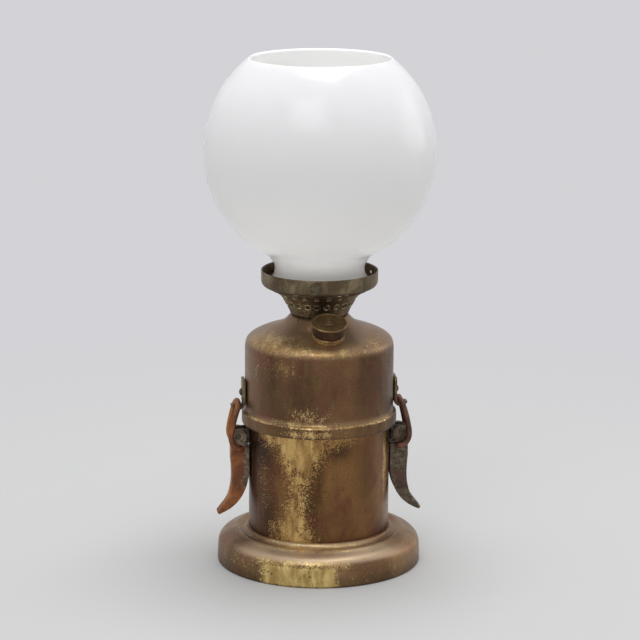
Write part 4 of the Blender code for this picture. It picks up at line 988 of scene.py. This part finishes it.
def makePin(size, side):
    _, atPin, _ = claspPlaces(side)
    profile = size.half + [(radius, -height) for radius, height in size.half[::-1]]
    place = atPin @ Matrix.Rotation(math.radians(90), 4, "X")
    piece = turned(f"leverPin{side.title()}", profile, steps=40, place=place)
    dress(piece, "headIron", "lamp", "dark_steel", f"lever_pin_{side}")


link = Values(
    wire=2, endWire=1.4, wireGrows=(7.7, 8.5), endX=2, endZ=1.5, count=220,
    start=[(0, 5.4, 0), (0, 7.7, 0), (0, 9, 0), (1.4, 10.3, 0.3)],
    length=33, side=10.5,
    strandShares=[(0.106, 1, 0.03), (0.167, 1, 0.082), (0.215, 1, 0.164), (0.236, 1, 0.258),
                  (0.236, 1, 0.333), (0.224, 1, 0.418), (0.194, 1, 0.57), (0.155, 1, 0.736),
                  (0.115, 1, 0.867), (0.094, 0.94, 0.93), (0.076, 0.73, 0.979), (0.064, 0.39, 1),
                  (0.064, 0, 1)],
)


def makeLink(size, side):
    # one wire from the blind hole of a cheek out, round the hook and back, thinner where it pivots
    _, place, _ = claspPlaces(side, "link")
    strand = np.array(size.strandShares) * (size.length, size.side, size.length)
    half = np.vstack([size.start, strand])
    path = softRun(np.vstack([half, (half * (1, -1, 1))[-2::-1]]), size.count)
    pivots = (path[:, 2] < size.endZ) & (path[:, 0] < size.endX)
    grown = size.endWire + (size.wire - size.endWire) * softStep(np.abs(path[:, 1]), *size.wireGrows)
    wire = np.where(pivots, grown, size.wire)
    piece = tube(f"link{side.title()}Wire", path, wire, sides=24, place=place)
    dress(piece, sides[side]["link"], f"link_{side}", sides[side]["slot"], f"link_{side}")


catch = Values(
    half=8.5, sheet=2, back=54, top=136.2, corner=2.2, plateBevel=0.35,
    hookPlace=(59.4, 118.9), hookRadius=3.4, hookEnd=340, hookRise=3, hookHalf=3.4, hookBevel=0.3,
)


def makeCatch(size, side):
    turn, _, _ = claspPlaces(side)
    back, sheet, corner = size.back, size.sheet, size.corner
    x, z = size.hookPlace
    top = arc(corner, 0, 90, 8, size.half - corner, size.top - corner)
    face = np.vstack([[(size.half, z)], top, (top * (-1, 1))[::-1], [(-size.half, z)]])
    upright = turn @ Matrix.Rotation(math.radians(90), 4, "Z")
    plate = slab("catchFace", face, -back - sheet, -back, upright, size.plateBevel)
    inner, outer = (arc(size.hookRadius + more, 180, size.hookEnd, 25, x, z) for more in (0, sheet))
    rise = z + size.hookRise
    hook = np.vstack([[(back, rise)], outer, inner[::-1], [(back + sheet, rise)]])
    curl = slab("hook", hook, -size.hookHalf, size.hookHalf, turn, size.hookBevel)
    dress(joined(f"catchPlate{side.title()}", [plate, curl]), "platesIron", "lamp", "dark_brass",
          f"catch_plate_{side}")


rivet = Values(
    # radius and distance from the lamp's axis
    crown=([(0, 58.2), (1.485, 57.865), (2.484, 56.96), (2.7, 56.1)], 16),
    shank=[(1.2, 56.1), (1.2, 51.6), (0, 51.6)], shankCounts=(4, 4, 3), overHook=7.5,
)


def makeRivet(size, side):
    turn, _, _ = claspPlaces(side)
    level = catch.hookPlace[1] + size.overHook
    place = turn @ Matrix.Translation((0, 0, level * mm)) @ Matrix.Rotation(math.radians(90), 4, "Y")
    profile = outlineOf(size.crown, *straightRuns(size.shank, *size.shankCounts))
    piece = turned(f"catchRivet{side.title()}", profile, steps=36, place=place)
    dress(piece, "headIron", "lamp", "dark_steel", f"catch_rivet_{side}")


for side in sides:
    makeLever(lever, side)
    makeBracket(bracket, side)
    makePin(pin, side)
    makeLink(link, side)
    makeCatch(catch, side)
    makeRivet(rivet, side)
print("clasps made")


# Inside pieces keep their CAD shape

insideFinish = {
    "carbide_cup": "containerBrass", "tank_floor": "containerBrass", "gas_tube": "containerBrass",
    "filter_cup": "galleryBrass", "filter_felt": "filterFelt", "valve_seat": "neckBrass",
    "sealing_gasket": "washerRubber", "burner_nut": "galleryBrass", "gland_nut": "galleryBrass",
}
for node, finish in insideFinish.items():
    frame["nodes"][node].data.materials.clear()
    frame["nodes"][node].data.materials.append(finishes[finish])


# Floor, backdrop and light, in metres

studio = Values(
    floorHalf=9, floorColour=colour(186, 186, 185), floorRough=0.9, floorShine=0.2,
    backColour=colour(211, 210, 214), nearFloor=0.22, farFloor=0.75,
    skyColour=(0.97, 0.98, 1, 1), skyStrength=0.76,
    # each lamp: watts, place and width
    lamps={"keyLight": (23, (-0.9, -2.35, 2.7), 1.9), "edgeLight": (6, (2.3, 0.6, 0.8), 1.3),
           "topLight": (41, (0.16, 0.25, 2.7), 1.3)},
    lampTarget=(0, 0, 0.18),
)


def backdropShare(kit):
    # 1 for rays that the background is seen by: camera, glossy and transmission
    rays = kit.put("LightPath").outputs
    either = kit.sums("MAXIMUM", rays["Is Camera Ray"], rays["Is Glossy Ray"])
    return kit.sums("MAXIMUM", either, rays["Is Transmission Ray"])


def makeFloor(size):
    # far from the lamp the floor turns into the even backdrop
    half = size.floorHalf
    mesh = bpy.data.meshes.new("floor")
    corners = [(-half, -half, 0), (half, -half, 0), (half, half, 0), (-half, half, 0)]
    mesh.from_pydata(corners, [], [[0, 1, 2, 3]])
    floor = placed("floor", mesh)
    material, shader, place, kit = startFinish("floorPaper")
    mesh.materials.append(material)
    kit.feed(shader, {"Base Color": size.floorColour, "Roughness": size.floorRough,
                      "Specular IOR Level": size.floorShine})
    away = kit.put("VectorMath", {0: place}, operation="LENGTH").outputs["Value"]
    share = kit.sums("MULTIPLY", backdropShare(kit), kit.ramp(away, size.nearFloor, size.farFloor))
    even = kit.put("Emission", {"Color": size.backColour}).outputs[0]
    blend = kit.put("MixShader", {0: share, 1: shader.outputs[0], 2: even}).outputs[0]
    kit.feed(material.node_tree.nodes["Material Output"], {0: blend})


def makeWorld(size):
    world = bpy.data.worlds.new("studioWorld")
    bpy.context.scene.world = world
    world.use_nodes = True
    world.node_tree.nodes.clear()
    kit = nodeKit(world.node_tree)
    sky, back = (kit.put("Background", {"Color": tint, "Strength": strength}).outputs[0] for tint, strength in
                 ((size.skyColour, size.skyStrength), (size.backColour, 1.0)))
    blend = kit.put("MixShader", {0: backdropShare(kit), 1: sky, 2: back}).outputs[0]
    kit.put("OutputWorld", {0: blend})


def makeLamps(size):
    for name, (power, place, width) in size.lamps.items():
        lamp = bpy.data.lights.new(name, "AREA")
        lamp.energy = power
        lamp.size = width
        holder = placed(name, lamp)
        holder.location = place
        holder.rotation_euler = (Vector(size.lampTarget) - Vector(place)).to_track_quat("-Z", "Y").to_euler()


camera = Values(
    focalPixels=2772, picture=640, sensor=36, distance=1.996, pitch=13.05, target=0.1784, aside=0.00043,
    roll=0.25, clipStart=0.05, clipEnd=50,
)


def makeCamera(size):
    data = bpy.data.cameras.new("camera")
    data.sensor_width = size.sensor
    data.lens = size.focalPixels / size.picture * size.sensor
    data.clip_start, data.clip_end = size.clipStart, size.clipEnd
    holder = placed("camera", data)
    pitch = math.radians(size.pitch)
    front = Vector((math.cos(cameraSide), math.sin(cameraSide), 0))
    back = front * math.cos(pitch) + Vector((0, 0, math.sin(pitch)))
    right = Vector((-front.y, front.x, 0))
    holder.location = Vector((0, 0, size.target)) + right * size.aside + back * size.distance
    roll = Matrix.Rotation(math.radians(size.roll), 4, "Z")
    holder.rotation_euler = ((-back).to_track_quat("-Z", "Y").to_matrix().to_4x4() @ roll).to_euler()
    bpy.context.scene.camera = holder


makeFloor(studio)
makeWorld(studio)
makeLamps(studio)
makeCamera(camera)
bpy.context.scene.view_settings.view_transform = "Standard"
print("studio and camera made")
